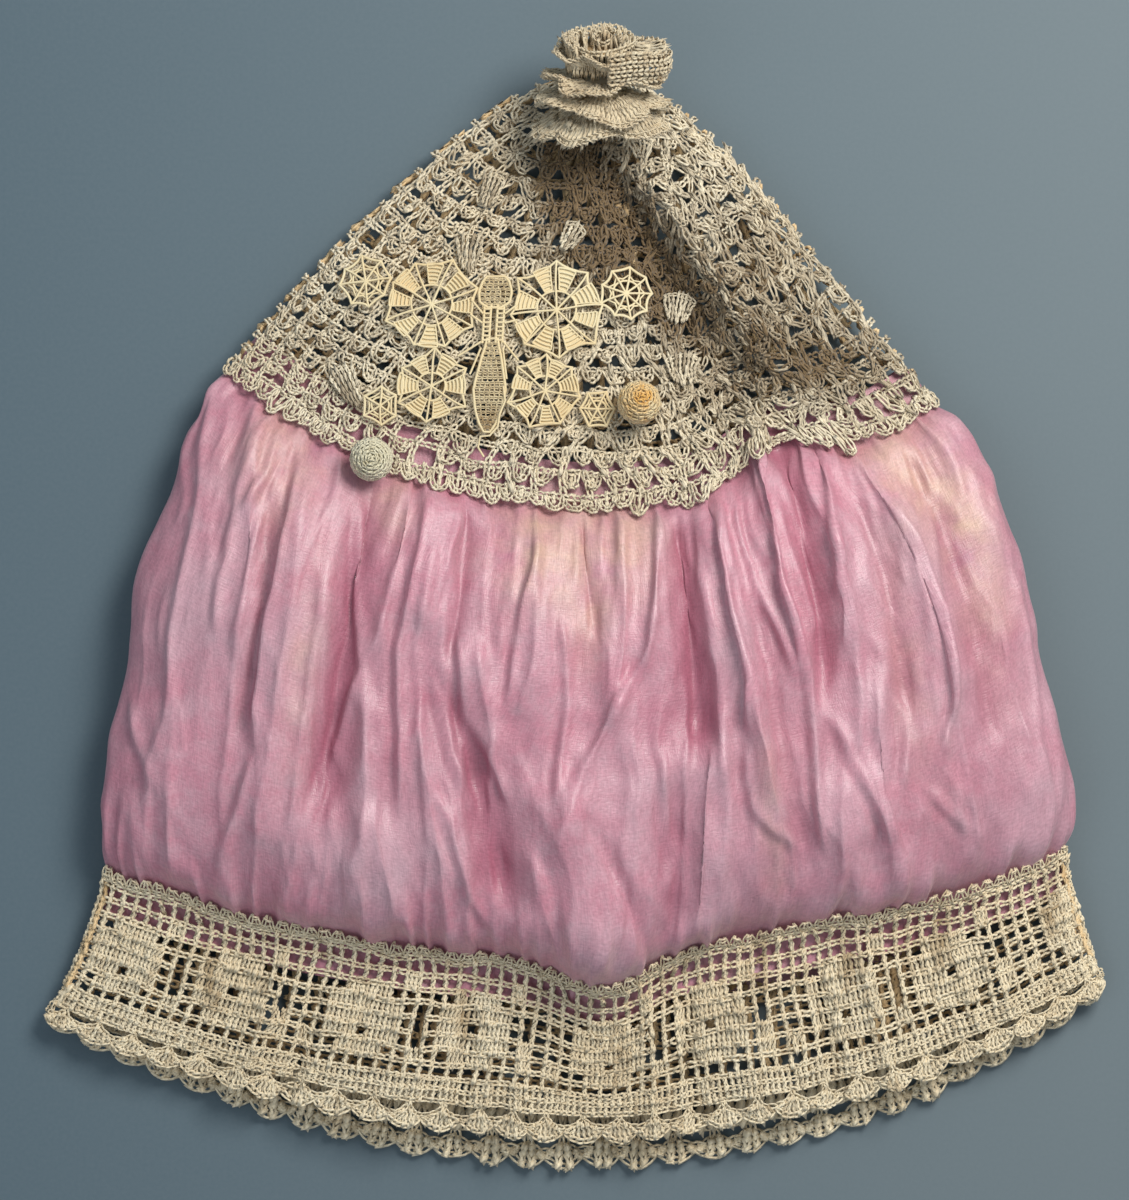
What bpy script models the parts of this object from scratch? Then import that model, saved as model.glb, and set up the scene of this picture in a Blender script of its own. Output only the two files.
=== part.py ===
"""A boudoir cap lying on its back: crochet crown, gathered silk puff and filet lace brim.

Metres, +Z up. The cap lies on the ground plane with its peak towards +Y and its mouth towards -Y.
The front and the back are two layers of one long loop, which every section of the cap follows.
"""
import math
from typing import NamedTuple

import bmesh
import bpy
from mathutils import Matrix, Vector
from mathutils.bvhtree import BVHTree

# Whole cap
FRONT_REACH = 0.299        # from the peak down the middle of the front to the hem
PEAK_Y = 0.151             # the peak, before the origin at the middle of the underside
PUFF_HEIGHT = 0.038        # the crest of the silk above the ground
BACK_DROP = 0.0085         # how far the back hem hangs below the front hem

# Walls and gaps
CROWN_WALL = 0.0020
SILK_WALL = 0.0015
BRIM_WALL = 0.0016
CLEARANCE = 0.0005
SILK_LAP = 0.009           # how far the silk runs under the crown and under the brim
SILK_PLAY = 0.0008         # room between the silk and the knobbly inside of the crown

# Picots and shells
PICOT_DEPTH = 0.0030
SHELL_DEPTH = 0.0030
ARCH_SHARE = 0.45          # of the edging's depth above the shells, the rest joins the shells

# Butterfly and buttons
MOTIF_WALL = 0.0013
MOTIF_SEAT = 0.0006        # height of the motif above the crown
MOTIF_GAP = 0.0007         # between one lace wheel and the next
MOTIF_FOOTING = 0.0016     # how far round a point the crown is felt for its highest place
BIG_WHEEL_RADIUS = 0.0122
LOW_WHEEL_RADIUS = 0.0095
TIP_WHEEL_RADIUS = 0.0064
LOW_TIP_WHEEL_RADIUS = 0.0048
BODY_LENGTH = 0.0425
BODY_HALF_WIDTH = 0.0042
BUTTON_DIAMETER = 0.0122

# Rose at the peak
ROSE_WIDTH = 0.0375
ROSE_SQUASH = 0.70         # depth of the rose over its width, as it lies pressed
ROSE_TILT = math.radians(66)
ROSE_WALL = 0.0026
ROSE_HEART_RADIUS = 0.0086
ROSE_HEART_HEIGHT = 0.0050
ROSE_HEART_TAPER = 0.72
ROSE_RINGS = (0.30, 0.66, 1.0)
ROSE_LOBE = 0.11           # depth of the notch between two petals, as a share of the radius
ROSE_REACH = 0.048         # place of its base on the front, as shares
ROSE_SIDE = 0.04

# Places along the front, as shares of FRONT_REACH
TIP = 0.030
CROWN_EDGE = 0.404
BRIM_TOP = 0.840
BRIM_HEM = 0.966
HEM = 1.0

# Mesh columns round the loop and rows down it
FRONT_COLUMNS = 42
BACK_COLUMNS = 18
CROWN_ROWS = 9
BRIM_ROWS = 2
SHELLS_FRONT = 30
SHELLS_BACK = 14
EDGE_CROWDING = 0.45       # 0 spaces the columns evenly, 1 crowds them at the side edges
TIP_CROWDING = 1.15        # above 1 the crown's rows are closer together at the tip

# Cross-section of the lying cap
FRONT_SQUARENESS = 3       # higher makes the front flatter, with steeper sides
BACK_FLAT_SHARE = 0.62     # share of the half width that lies flat on the ground
FOLD_FADE = 8              # power by which folds fade out at the side edges
FOLD_EASE = 0.22           # share of a fold's length over which it rises at either end
BACK_DROP_START = 0.87     # reach share below which the back hem hangs lower


class Section(NamedTuple):
    """One loop of the cap. Angles are degrees from the front's middle line, the rest are shares."""
    reach: float           # of FRONT_REACH
    left_angle: float
    right_angle: float
    left_flare: float      # how much further out the side lies than the middle
    right_flare: float
    crest: float           # of PUFF_HEIGHT
    side_edge: float       # of PUFF_HEIGHT


SECTIONS = (
    Section(0.026, 70.0, 66.0, 0.000, 0.000, 0.23, 0.10),
    Section(0.081, 70.0, 61.5, 0.000, 0.000, 0.28, 0.12),
    Section(0.147, 63.4, 55.7, 0.020, 0.020, 0.38, 0.14),
    Section(0.234, 57.5, 50.0, 0.050, 0.045, 0.50, 0.16),
    Section(0.322, 54.0, 46.8, 0.070, 0.060, 0.58, 0.18),
    Section(0.404, 51.1, 45.2, 0.081, 0.070, 0.62, 0.20),
    Section(0.478, 48.2, 43.3, 0.070, 0.050, 0.86, 0.28),
    Section(0.551, 44.2, 41.0, 0.060, 0.030, 0.97, 0.32),
    Section(0.634, 40.7, 38.0, 0.055, 0.020, 1.00, 0.34),
    Section(0.708, 36.9, 35.4, 0.055, 0.015, 0.98, 0.34),
    Section(0.781, 34.1, 33.5, 0.055, 0.015, 0.90, 0.32),
    Section(0.812, 32.8, 32.0, 0.056, 0.017, 0.74, 0.28),
    Section(0.840, 31.3, 30.4, 0.058, 0.020, 0.42, 0.20),
    Section(0.882, 30.7, 29.7, 0.052, 0.010, 0.38, 0.17),
    Section(0.928, 30.3, 29.2, 0.045, 0.000, 0.35, 0.15),
    Section(1.000, 30.3, 28.8, 0.030, -0.020, 0.31, 0.14),
)


class Fold(NamedTuple):
    """A fold down the front: a crest where rise is above zero, and a valley where it is below."""
    start: float           # reach shares
    end: float
    side_start: float      # -1 at the left side edge, +1 at the right
    side_middle: float
    side_end: float
    spread: float          # half width, as a share of the half loop
    rise: float            # of PUFF_HEIGHT


FOLDS = (
    Fold(0.07, 0.40, 0.03, 0.37, 0.47, 0.120, -0.27),
    Fold(0.10, 0.43, 0.36, 0.60, 0.70, 0.100, 0.06),
    Fold(0.41, 0.64, -0.86, -0.79, -0.76, 0.045, 0.12),
    Fold(0.42, 0.81, -0.72, -0.66, -0.71, 0.045, 0.13),
    Fold(0.40, 0.77, -0.56, -0.54, -0.57, 0.060, -0.16),
    Fold(0.40, 0.56, -0.42, -0.385, -0.40, 0.045, 0.11),
    Fold(0.57, 0.80, -0.34, -0.24, -0.17, 0.050, -0.13),
    Fold(0.54, 0.66, -0.27, -0.24, -0.21, 0.030, 0.08),
    Fold(0.41, 0.62, -0.19, -0.14, -0.18, 0.040, 0.10),
    Fold(0.41, 0.58, 0.16, 0.14, 0.09, 0.045, 0.11),
    Fold(0.56, 0.75, 0.09, -0.03, -0.10, 0.040, 0.09),
    Fold(0.41, 0.66, 0.20, 0.21, 0.21, 0.050, -0.18),
    Fold(0.37, 0.76, 0.29, 0.33, 0.39, 0.040, 0.15),
    Fold(0.35, 0.63, 0.52, 0.45, 0.46, 0.035, 0.12),
    Fold(0.38, 0.64, 0.56, 0.52, 0.49, 0.035, -0.12),
    Fold(0.40, 0.60, 0.65, 0.60, 0.54, 0.040, 0.11),
    Fold(0.42, 0.72, 0.72, 0.77, 0.78, 0.040, 0.12),
    Fold(0.42, 0.74, 0.83, 0.85, 0.84, 0.045, -0.10),
    Fold(0.64, 0.88, -0.12, -0.02, 0.01, 0.110, 0.13),
    Fold(0.66, 0.83, 0.13, 0.15, 0.13, 0.040, -0.10),
    Fold(0.70, 0.84, -0.46, -0.42, -0.38, 0.040, 0.10),
    Fold(0.68, 0.84, 0.53, 0.50, 0.55, 0.060, 0.10),
    Fold(0.83, 1.04, -0.70, -0.71, -0.72, 0.050, -0.05),
    Fold(0.83, 1.04, -0.36, -0.37, -0.38, 0.050, 0.06),
    Fold(0.84, 1.04, -0.02, -0.02, -0.01, 0.060, -0.05),
    Fold(0.83, 1.04, 0.30, 0.31, 0.32, 0.050, 0.06),
    Fold(0.83, 1.04, 0.66, 0.66, 0.67, 0.050, -0.05),
)


class Drift(NamedTuple):
    """Where a sewn line leaves its even course: it dips below it, or rises above it if negative."""
    line: float            # reach share of the line
    side: float
    spread: float
    dip: float             # of FRONT_REACH


DRIFTS = (
    Drift(CROWN_EDGE, 0.53, 0.17, -0.031),
    Drift(BRIM_TOP, 0.01, 0.11, 0.028),
    Drift(BRIM_TOP, 0.40, 0.30, -0.013),
)
DRIFT_REACH = 0.11         # how far along the front a drift pulls the cloth with it

# Rows of the silk between its two laps, crowded where it swells and where it is drawn in
SILK_ROWS = (0.420, 0.437, 0.460, 0.490, 0.530, 0.575, 0.620, 0.665, 0.710, 0.750, 0.785, 0.808, 0.826)
SILK_EASE = 0.022          # share over which the silk leaves the cover of a lap


class Wheel(NamedTuple):
    """One needle lace wheel of the butterfly, set beside the body or beside another wheel."""
    name: str
    beside: str
    bearing: float         # degrees from +X
    radius: float
    petals: int


WHEELS = (
    Wheel("wheel_upper_left", "butterfly_body", 180.0, BIG_WHEEL_RADIUS, 8),
    Wheel("wheel_upper_right", "butterfly_body", -5.0, BIG_WHEEL_RADIUS, 8),
    Wheel("wheel_lower_left", "wheel_upper_left", 270.0, LOW_WHEEL_RADIUS, 6),
    Wheel("wheel_lower_right", "wheel_upper_right", 262.0, LOW_WHEEL_RADIUS, 6),
    Wheel("wheel_upper_left_tip", "wheel_upper_left", 160.0, TIP_WHEEL_RADIUS, 0),
    Wheel("wheel_upper_right_tip", "wheel_upper_right", 14.0, TIP_WHEEL_RADIUS, 0),
    Wheel("wheel_lower_left_tip", "wheel_lower_left", 200.0, LOW_TIP_WHEEL_RADIUS, 0),
    Wheel("wheel_lower_right_tip", "wheel_lower_right", -19.0, LOW_TIP_WHEEL_RADIUS, 0),
)
PETAL_SHARE = 0.68         # of a wheel's sector, the rest is the gap beside it
WHEEL_RINGS = (0.20, 0.46, 0.84, 1.0)
TIP_WHEEL_RINGS = (0.35, 1.0)
TIP_WHEEL_SECTORS = 5
BODY_TOP = (0.224, -0.43)  # top of the head on the front, as reach and side shares
BODY_LEAN = -0.06          # sideways run of the body for its length
BODY_WAIST = 0.18          # share of the length where the upper wheels are set
BODY_STATIONS = (          # share of the length, share of the half width
    (0.00, 0.45), (0.10, 0.95), (0.18, 0.80), (0.26, 0.42), (0.42, 0.42),
    (0.56, 0.62), (0.74, 1.00), (0.90, 0.70), (1.00, 0.16),
)
LEFT_BUTTON = (0.4155, -0.577)   # reach and side shares
RIGHT_BUTTON_BEARING = 8.0


class Finish(NamedTuple):
    """Colour and roughness of a sub-part."""
    colour: tuple
    roughness: float


CROWN_COTTON = Finish((0.58, 0.54, 0.42, 1.0), 0.90)
BRIM_COTTON = Finish((0.56, 0.50, 0.37, 1.0), 0.90)
MOTIF_THREAD = Finish((0.63, 0.55, 0.36, 1.0), 0.80)
ROSE_COTTON = Finish((0.54, 0.47, 0.33, 1.0), 0.90)
PINK_SILK = Finish((0.68, 0.36, 0.44, 1.0), 0.42)


def clear_scene():
    """Remove every object, so that the model starts from an empty scene."""
    for item in list(bpy.data.objects):
        bpy.data.objects.remove(item, do_unlink=True)


def material(name, finish):
    """A Principled material of one finish."""
    made = bpy.data.materials.new(name)
    made.use_nodes = True
    shader = made.node_tree.nodes["Principled BSDF"]
    shader.inputs["Base Color"].default_value = finish.colour
    shader.inputs["Roughness"].default_value = finish.roughness
    shader.inputs["Metallic"].default_value = 0.0
    return made


def smooth_step(low, high, value):
    """0 below low, 1 above high, with an even ease between."""
    share = min(max((value - low) / (high - low), 0.0), 1.0)
    return share * share * (3.0 - 2.0 * share)


def bell(value, middle, spread):
    """A round bump that is 1 in its middle and fades within two spreads."""
    return math.exp(-((value - middle) / spread) ** 2)


def section_at(reach):
    """The section at any reach share, on smooth curves through the table's rows."""
    rows = SECTIONS
    last = len(rows) - 2
    index = next((i for i in range(last + 1) if reach <= rows[i + 1].reach), last)
    before, here = rows[max(index - 1, 0)], rows[index]
    after, beyond = rows[index + 1], rows[min(index + 2, last + 1)]
    span = after.reach - here.reach
    share = (reach - here.reach) / span
    values = [reach]
    for p0, p1, p2, p3 in list(zip(before, here, after, beyond))[1:]:
        slope_here = (p2 - p0) / (after.reach - before.reach) * span
        slope_after = (p3 - p1) / (beyond.reach - here.reach) * span
        square, cube = share * share, share ** 3
        values.append((2 * cube - 3 * square + 1) * p1 + (cube - 2 * square + share) * slope_here
                      + (3 * square - 2 * cube) * p2 + (cube - square) * slope_after)
    return Section(*values)


def fold_lift(reach, side):
    """Height that the folds add to the front at a place."""
    lift = 0.0
    for fold in FOLDS:
        share = (reach - fold.start) / (fold.end - fold.start)
        if not 0.0 < share < 1.0:
            continue
        middle = ((1 - share) ** 2 * fold.side_start + share ** 2 * fold.side_end
                  + 2 * share * (1 - share) * (2 * fold.side_middle
                                               - 0.5 * (fold.side_start + fold.side_end)))
        fade = smooth_step(0.0, FOLD_EASE, share) * smooth_step(0.0, FOLD_EASE, 1.0 - share)
        lift += fold.rise * fade * bell(side, middle, fold.spread)
    return lift * PUFF_HEIGHT * (1.0 - abs(side) ** FOLD_FADE)


def drifted(reach, side):
    """Reach share once the sewn lines have left their even course."""
    shift = sum(drift.dip * bell(side, drift.side, drift.spread) * bell(reach, drift.line, DRIFT_REACH)
                for drift in DRIFTS)
    return reach + shift


def cap_point(reach, side, front):
    """A point of the cap's outer surface, on its front or its back layer."""
    section = section_at(reach)
    moved = drifted(reach, side) if front else reach
    right = side > 0.0
    angle = math.radians(section.right_angle if right else section.left_angle) * side
    flare = section.right_flare if right else section.left_flare
    radius = FRONT_REACH * moved * (1.0 + flare * side * side)
    if not front:
        radius += BACK_DROP * (1.0 - side * side) * smooth_step(BACK_DROP_START, HEM, reach)
    edge = section.side_edge * PUFF_HEIGHT
    if front:
        crest = section.crest * PUFF_HEIGHT
        arch = math.sqrt(1.0 - abs(side) ** FRONT_SQUARENESS)
        height = edge + (crest - edge) * arch + fold_lift(reach, side)
    else:
        rolled = max(0.0, (abs(side) - BACK_FLAT_SHARE) / (1.0 - BACK_FLAT_SHARE))
        height = edge * (1.0 - math.sqrt(max(0.0, 1.0 - rolled * rolled)))
    return Vector((radius * math.sin(angle), PEAK_Y - radius * math.cos(angle), height))


def loop_place(share, front_columns, back_columns):
    """Side and layer at a share of the way round the loop, starting at the left side edge."""
    front_share = front_columns / (front_columns + back_columns)
    front = share <= front_share
    along = share / front_share if front else 1.0 - (share - front_share) / (1.0 - front_share)
    even = 2.0 * along - 1.0
    side = (1.0 - EDGE_CROWDING) * even + EDGE_CROWDING * math.sin(0.5 * math.pi * even)
    return max(-1.0, min(1.0, side)), front


def band(rows, inset=None, front_columns=FRONT_COLUMNS, back_columns=BACK_COLUMNS, edge_shift=None):
    """An open band of the cap's surface through the given reach shares, as a bmesh.

    inset(reach) draws the surface in along its normals, and edge_shift(column) moves the last row.
    """
    columns = front_columns + back_columns
    mesh = bmesh.new()
    bmesh.ops.create_grid(mesh, x_segments=columns, y_segments=len(rows) - 1, size=0.5)
    column_layer = mesh.faces.layers.int.new("column")
    row_layer = mesh.faces.layers.int.new("row")
    reaches = {}
    for face in mesh.faces:
        middle = face.calc_center_median()
        face[column_layer] = int((middle.x + 0.5) * columns)
        face[row_layer] = int((middle.y + 0.5) * (len(rows) - 1))
    for vert in mesh.verts:
        column = round((vert.co.x + 0.5) * columns)
        row = round((vert.co.y + 0.5) * (len(rows) - 1))
        reach = rows[row]
        if edge_shift and row == len(rows) - 1:
            reach += edge_shift(column % columns)
        side, front = loop_place(column / columns, front_columns, back_columns)
        vert.co = cap_point(reach, side, front)
        reaches[vert] = reach
    bmesh.ops.remove_doubles(mesh, verts=mesh.verts, dist=1e-7)
    bmesh.ops.recalc_face_normals(mesh, faces=mesh.faces)
    face_out(mesh)
    if inset:
        draw_in(mesh, inset, reaches, (0, len(rows) - 2))
    return mesh


def draw_in(mesh, inset, reaches, lap_rows):
    """Move a band inwards by inset(reach). In its laps it stays parallel to what covers it there."""
    row_layer = mesh.faces.layers.int["row"]
    moves = []
    for vert in mesh.verts:
        lapped = [face for face in vert.link_faces if face[row_layer] in lap_rows]
        normal = sum((face.normal for face in lapped or vert.link_faces), Vector()).normalized()
        lean = min(face.normal.dot(normal) for face in lapped or vert.link_faces)
        moves.append((vert, normal * inset(reaches[vert]) / max(lean, 0.5)))
    for vert, move in moves:
        vert.co -= move


def face_out(mesh):
    """Turn an open band so that its faces point away from the hollow inside it."""
    top = max(mesh.faces, key=lambda face: face.calc_center_median().z)
    if top.normal.z < 0.0:
        bmesh.ops.reverse_faces(mesh, faces=mesh.faces)


def pierce(mesh, is_gap):
    """Delete the faces that is_gap(column, row) names, and whatever then hangs loose."""
    column_layer = mesh.faces.layers.int["column"]
    row_layer = mesh.faces.layers.int["row"]
    gaps = [face for face in mesh.faces if is_gap(face[column_layer], face[row_layer])]
    bmesh.ops.delete(mesh, geom=gaps, context="FACES")


def place(name, mesh, collection, finish, wall=None, offset=-1.0):
    """Put a bmesh in the scene as a named object, with a wall if it is an open surface."""
    data = bpy.data.meshes.new(name)
    mesh.to_mesh(data)
    mesh.free()
    data.materials.append(material(name, finish))
    piece = bpy.data.objects.new(name, data)
    collection.objects.link(piece)
    if wall:
        solid = piece.modifiers.new("Wall", "SOLIDIFY")
        solid.thickness = wall
        solid.offset = offset
        solid.use_even_offset = True
        solid.use_quality_normals = True
    return piece


def crown_rows():
    """Reach shares of the crown's rows, closer together towards the tip, ending with the lap."""
    lap_start = CROWN_EDGE - SILK_LAP / FRONT_REACH
    steps = CROWN_ROWS - 1
    crowded = [(step / steps) ** TIP_CROWDING for step in range(steps + 1)]
    return [TIP + (lap_start - TIP) * share for share in crowded] + [CROWN_EDGE]


def build_crown(collection):
    """The crochet crown, pierced by its larger gaps, with a picot edge over the silk."""
    picot = PICOT_DEPTH / FRONT_REACH

    def edge_shift(column):
        return picot * (column % 2)

    def is_gap(column, row):
        on_front = column < FRONT_COLUMNS
        if row in (0, CROWN_ROWS - 1):
            return False
        if on_front:
            return 3 <= column < FRONT_COLUMNS - 3 and (column + 3 * (row % 2)) % 8 == 4
        return (column + 2 * (row % 2)) % 6 == 2

    mesh = band(crown_rows(), edge_shift=edge_shift)
    pierce(mesh, is_gap)
    return place("crown_lace", mesh, collection, CROWN_COTTON, CROWN_WALL)


def build_silk(collection):
    """The gathered silk puff, which runs in under the crown's edge and under the brim's top."""
    lap = SILK_LAP / FRONT_REACH
    rows = (CROWN_EDGE - lap, CROWN_EDGE) + SILK_ROWS + (BRIM_TOP, BRIM_TOP + lap)
    under_crown = CROWN_WALL + SILK_PLAY
    under_brim = BRIM_WALL + CLEARANCE
    crown_cover = CROWN_EDGE + (PICOT_DEPTH + CLEARANCE) / FRONT_REACH

    def inset(reach):
        covered = 1.0 - smooth_step(crown_cover, crown_cover + SILK_EASE, reach)
        tucked = smooth_step(BRIM_TOP - 1.5 * SILK_EASE, BRIM_TOP - 0.5 * SILK_EASE, reach)
        return under_crown * covered + under_brim * tucked

    return place("silk_puff", band(rows, inset), collection, PINK_SILK, SILK_WALL)


def build_brim(collection):
    """The filet lace brim, pierced in a chequer of open meshes."""
    def is_gap(column, row):
        if column < FRONT_COLUMNS:
            return 2 <= column < FRONT_COLUMNS - 2 and row == 1 and column % 3 == 1
        return row == 1 and column % 3 == 0

    lap_end = BRIM_TOP + SILK_LAP / FRONT_REACH
    rows = [BRIM_TOP] + [lap_end + (BRIM_HEM - lap_end) * row / BRIM_ROWS for row in range(BRIM_ROWS + 1)]
    mesh = band(rows)
    pierce(mesh, is_gap)
    return place("brim_lace", mesh, collection, BRIM_COTTON, BRIM_WALL)


def build_edging(collection):
    """The shell edging below the brim: a row of open arches with a scalloped hem."""
    shell = SHELL_DEPTH / FRONT_REACH
    start = BRIM_HEM + CLEARANCE / FRONT_REACH
    arch = start + ARCH_SHARE * (HEM - shell - start)

    def edge_shift(column):
        return shell * (column % 2)

    def is_gap(column, row):
        return row == 0 and column < 2 * SHELLS_FRONT and column % 4 == 1

    mesh = band([start, arch, HEM - shell], front_columns=2 * SHELLS_FRONT,
                back_columns=2 * SHELLS_BACK, edge_shift=edge_shift)
    pierce(mesh, is_gap)
    return place("brim_edging", mesh, collection, BRIM_COTTON, BRIM_WALL)


def seat_surface():
    """The crown and silk without their gaps, for what is sewn on top of them to rest on."""
    mesh = band(crown_rows() + list(SILK_ROWS[:5]))
    tree = BVHTree.FromBMesh(mesh)
    mesh.free()
    return tree


def height_of(seat, x, y):
    """Height of the front at a place, by a ray from above."""
    hit = seat.ray_cast(Vector((x, y, 2.0 * PUFF_HEIGHT)), Vector((0.0, 0.0, -1.0)))
    return hit[0].z if hit[0] else 0.0


def rest_on(seat, mesh, gap):
    """Lift or lower a mesh until its lowest clearance over the front is the gap."""
    least = min(vert.co.z - height_of(seat, vert.co.x, vert.co.y) for vert in mesh.verts)
    bmesh.ops.translate(mesh, verts=mesh.verts, vec=(0.0, 0.0, gap - least))


def drape(seat, mesh):
    """Lay a flat mesh on the front, each point at the motif's seat above it."""
    turns = [math.tau * step / 6 for step in range(6)]
    near = [(0.0, 0.0)] + [(MOTIF_FOOTING * math.cos(turn), MOTIF_FOOTING * math.sin(turn))
                           for turn in turns]
    for vert in mesh.verts:
        top = max(height_of(seat, vert.co.x + dx, vert.co.y + dy) for dx, dy in near)
        vert.co.z = top + MOTIF_SEAT


def body_point(share):
    """Place of the body's middle line at a share of its length, seen from above."""
    top = cap_point(*BODY_TOP, front=True)
    return Vector((top.x + BODY_LEAN * share * BODY_LENGTH, top.y - share * BODY_LENGTH))


def wheel_places():
    """Middle of each wheel seen from above, a named gap away from what it is set beside."""
    places = {"butterfly_body": (body_point(BODY_WAIST), BODY_HALF_WIDTH)}
    for wheel in WHEELS:
        middle, size = places[wheel.beside]
        places[wheel.name] = (step_away(middle, size, wheel.bearing, wheel.radius), wheel.radius)
    return {name: middle for name, (middle, size) in places.items()}


def step_away(middle, size, bearing, radius):
    """Middle of a round thing that lies beside another, with the motif's gap between them."""
    turn = math.radians(bearing)
    return middle + (size + MOTIF_GAP + radius) * Vector((math.cos(turn), math.sin(turn)))


def build_wheel(wheel, middle, seat, collection):
    """One lace wheel: a hub, a ring of woven petals with gaps between, and an outline cord."""
    rings = WHEEL_RINGS if wheel.petals else TIP_WHEEL_RINGS
    sectors = wheel.petals or TIP_WHEEL_SECTORS
    mesh = bmesh.new()
    bmesh.ops.create_grid(mesh, x_segments=2 * sectors, y_segments=len(rings) - 1, size=0.5)
    gaps = [face for face in mesh.faces if wheel.petals
            and int((face.calc_center_median().x + 0.5) * 2 * sectors) % 2
            and int((face.calc_center_median().y + 0.5) * (len(rings) - 1)) == 1]
    bmesh.ops.delete(mesh, geom=gaps, context="FACES")
    for vert in mesh.verts:
        step = round((vert.co.x + 0.5) * 2 * sectors)
        ring = rings[round((vert.co.y + 0.5) * (len(rings) - 1))]
        turn = math.tau * (step // 2 + PETAL_SHARE * (step % 2)) / sectors
        vert.co = Vector((wheel.radius * ring * math.cos(turn), wheel.radius * ring * math.sin(turn), 0.0))
    close_hub(mesh, 1.01 * rings[0] * wheel.radius)
    bmesh.ops.translate(mesh, verts=mesh.verts, vec=(*middle, 0.0))
    lay_flat_side_down(mesh)
    drape(seat, mesh)
    return place(wheel.name, mesh, collection, MOTIF_THREAD, MOTIF_WALL, offset=1.0)


def close_hub(mesh, radius):
    """Join a ring of faces at its seam and fill the middle of it within a radius."""
    bmesh.ops.remove_doubles(mesh, verts=mesh.verts, dist=1e-7)
    hub = [edge for edge in mesh.edges
           if edge.is_boundary and all(vert.co.xy.length < radius for vert in edge.verts)]
    bmesh.ops.contextual_create(mesh, geom=hub)


def lay_flat_side_down(mesh):
    """Turn a flat mesh so that every face points up."""
    bmesh.ops.recalc_face_normals(mesh, faces=mesh.faces)
    mesh.normal_update()
    if next(iter(mesh.faces)).normal.z < 0.0:
        bmesh.ops.reverse_faces(mesh, faces=mesh.faces)


def build_body(seat, collection):
    """The butterfly's body: head, narrow thorax and abdomen in one woven strip."""
    count = len(BODY_STATIONS) - 1
    mesh = bmesh.new()
    bmesh.ops.create_grid(mesh, x_segments=2, y_segments=count, size=0.5)
    for vert in mesh.verts:
        share, width = BODY_STATIONS[round((vert.co.y + 0.5) * count)]
        across = 2.0 * vert.co.x
        middle = body_point(share)
        vert.co = Vector((middle.x + across * width * BODY_HALF_WIDTH, middle.y, 0.0))
    lay_flat_side_down(mesh)
    drape(seat, mesh)
    return place("butterfly_body", mesh, collection, MOTIF_THREAD, MOTIF_WALL, offset=1.0)


def build_button(name, middle, seat, collection):
    """A crocheted ball button, resting on the front at a place seen from above."""
    mesh = bmesh.new()
    bmesh.ops.create_uvsphere(mesh, u_segments=12, v_segments=8, radius=BUTTON_DIAMETER / 2)
    bmesh.ops.translate(mesh, verts=mesh.verts, vec=(*middle, PUFF_HEIGHT))
    rest_on(seat, mesh, CLEARANCE)
    return place(name, mesh, collection, MOTIF_THREAD)


class RoseRound(NamedTuple):
    """One round of petals, from the crown outwards."""
    name: str
    width: float           # of ROSE_WIDTH
    droop: float           # how far its rim hangs back, as a share of its radius
    petals: int


ROSE_ROUNDS = (
    RoseRound("rose_outer_round", 1.00, 0.32, 6),
    RoseRound("rose_lower_round", 0.93, 0.16, 6),
    RoseRound("rose_upper_round", 0.80, 0.04, 5),
    RoseRound("rose_inner_round", 0.62, -0.12, 5),
)


def rose_frame():
    """The rose's own axes: its width along X, and its face leaning from +Z towards +Y."""
    turn = Matrix.Rotation(-ROSE_TILT, 4, "X")
    return turn @ Matrix.Diagonal((1.0, ROSE_SQUASH, 1.0, 1.0))


def rose_round_mesh(rose_round, level):
    """A lobed, dished round of petals at a height along the rose's axis."""
    steps = 3 * rose_round.petals
    radius = 0.5 * ROSE_WIDTH * rose_round.width
    mesh = bmesh.new()
    bmesh.ops.create_grid(mesh, x_segments=steps, y_segments=len(ROSE_RINGS) - 1, size=0.5)
    for vert in mesh.verts:
        step = round((vert.co.x + 0.5) * steps)
        ring = ROSE_RINGS[round((vert.co.y + 0.5) * (len(ROSE_RINGS) - 1))]
        turn = math.tau * step / steps
        lobe = 1.0 - (ROSE_LOBE * ring if step % 3 == 0 else 0.0)
        out = radius * ring * lobe
        height = level - rose_round.droop * out * out / radius
        vert.co = Vector((out * math.cos(turn), out * math.sin(turn), height))
    close_hub(mesh, 1.01 * ROSE_RINGS[0] * radius)
    lay_flat_side_down(mesh)
    return mesh


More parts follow.
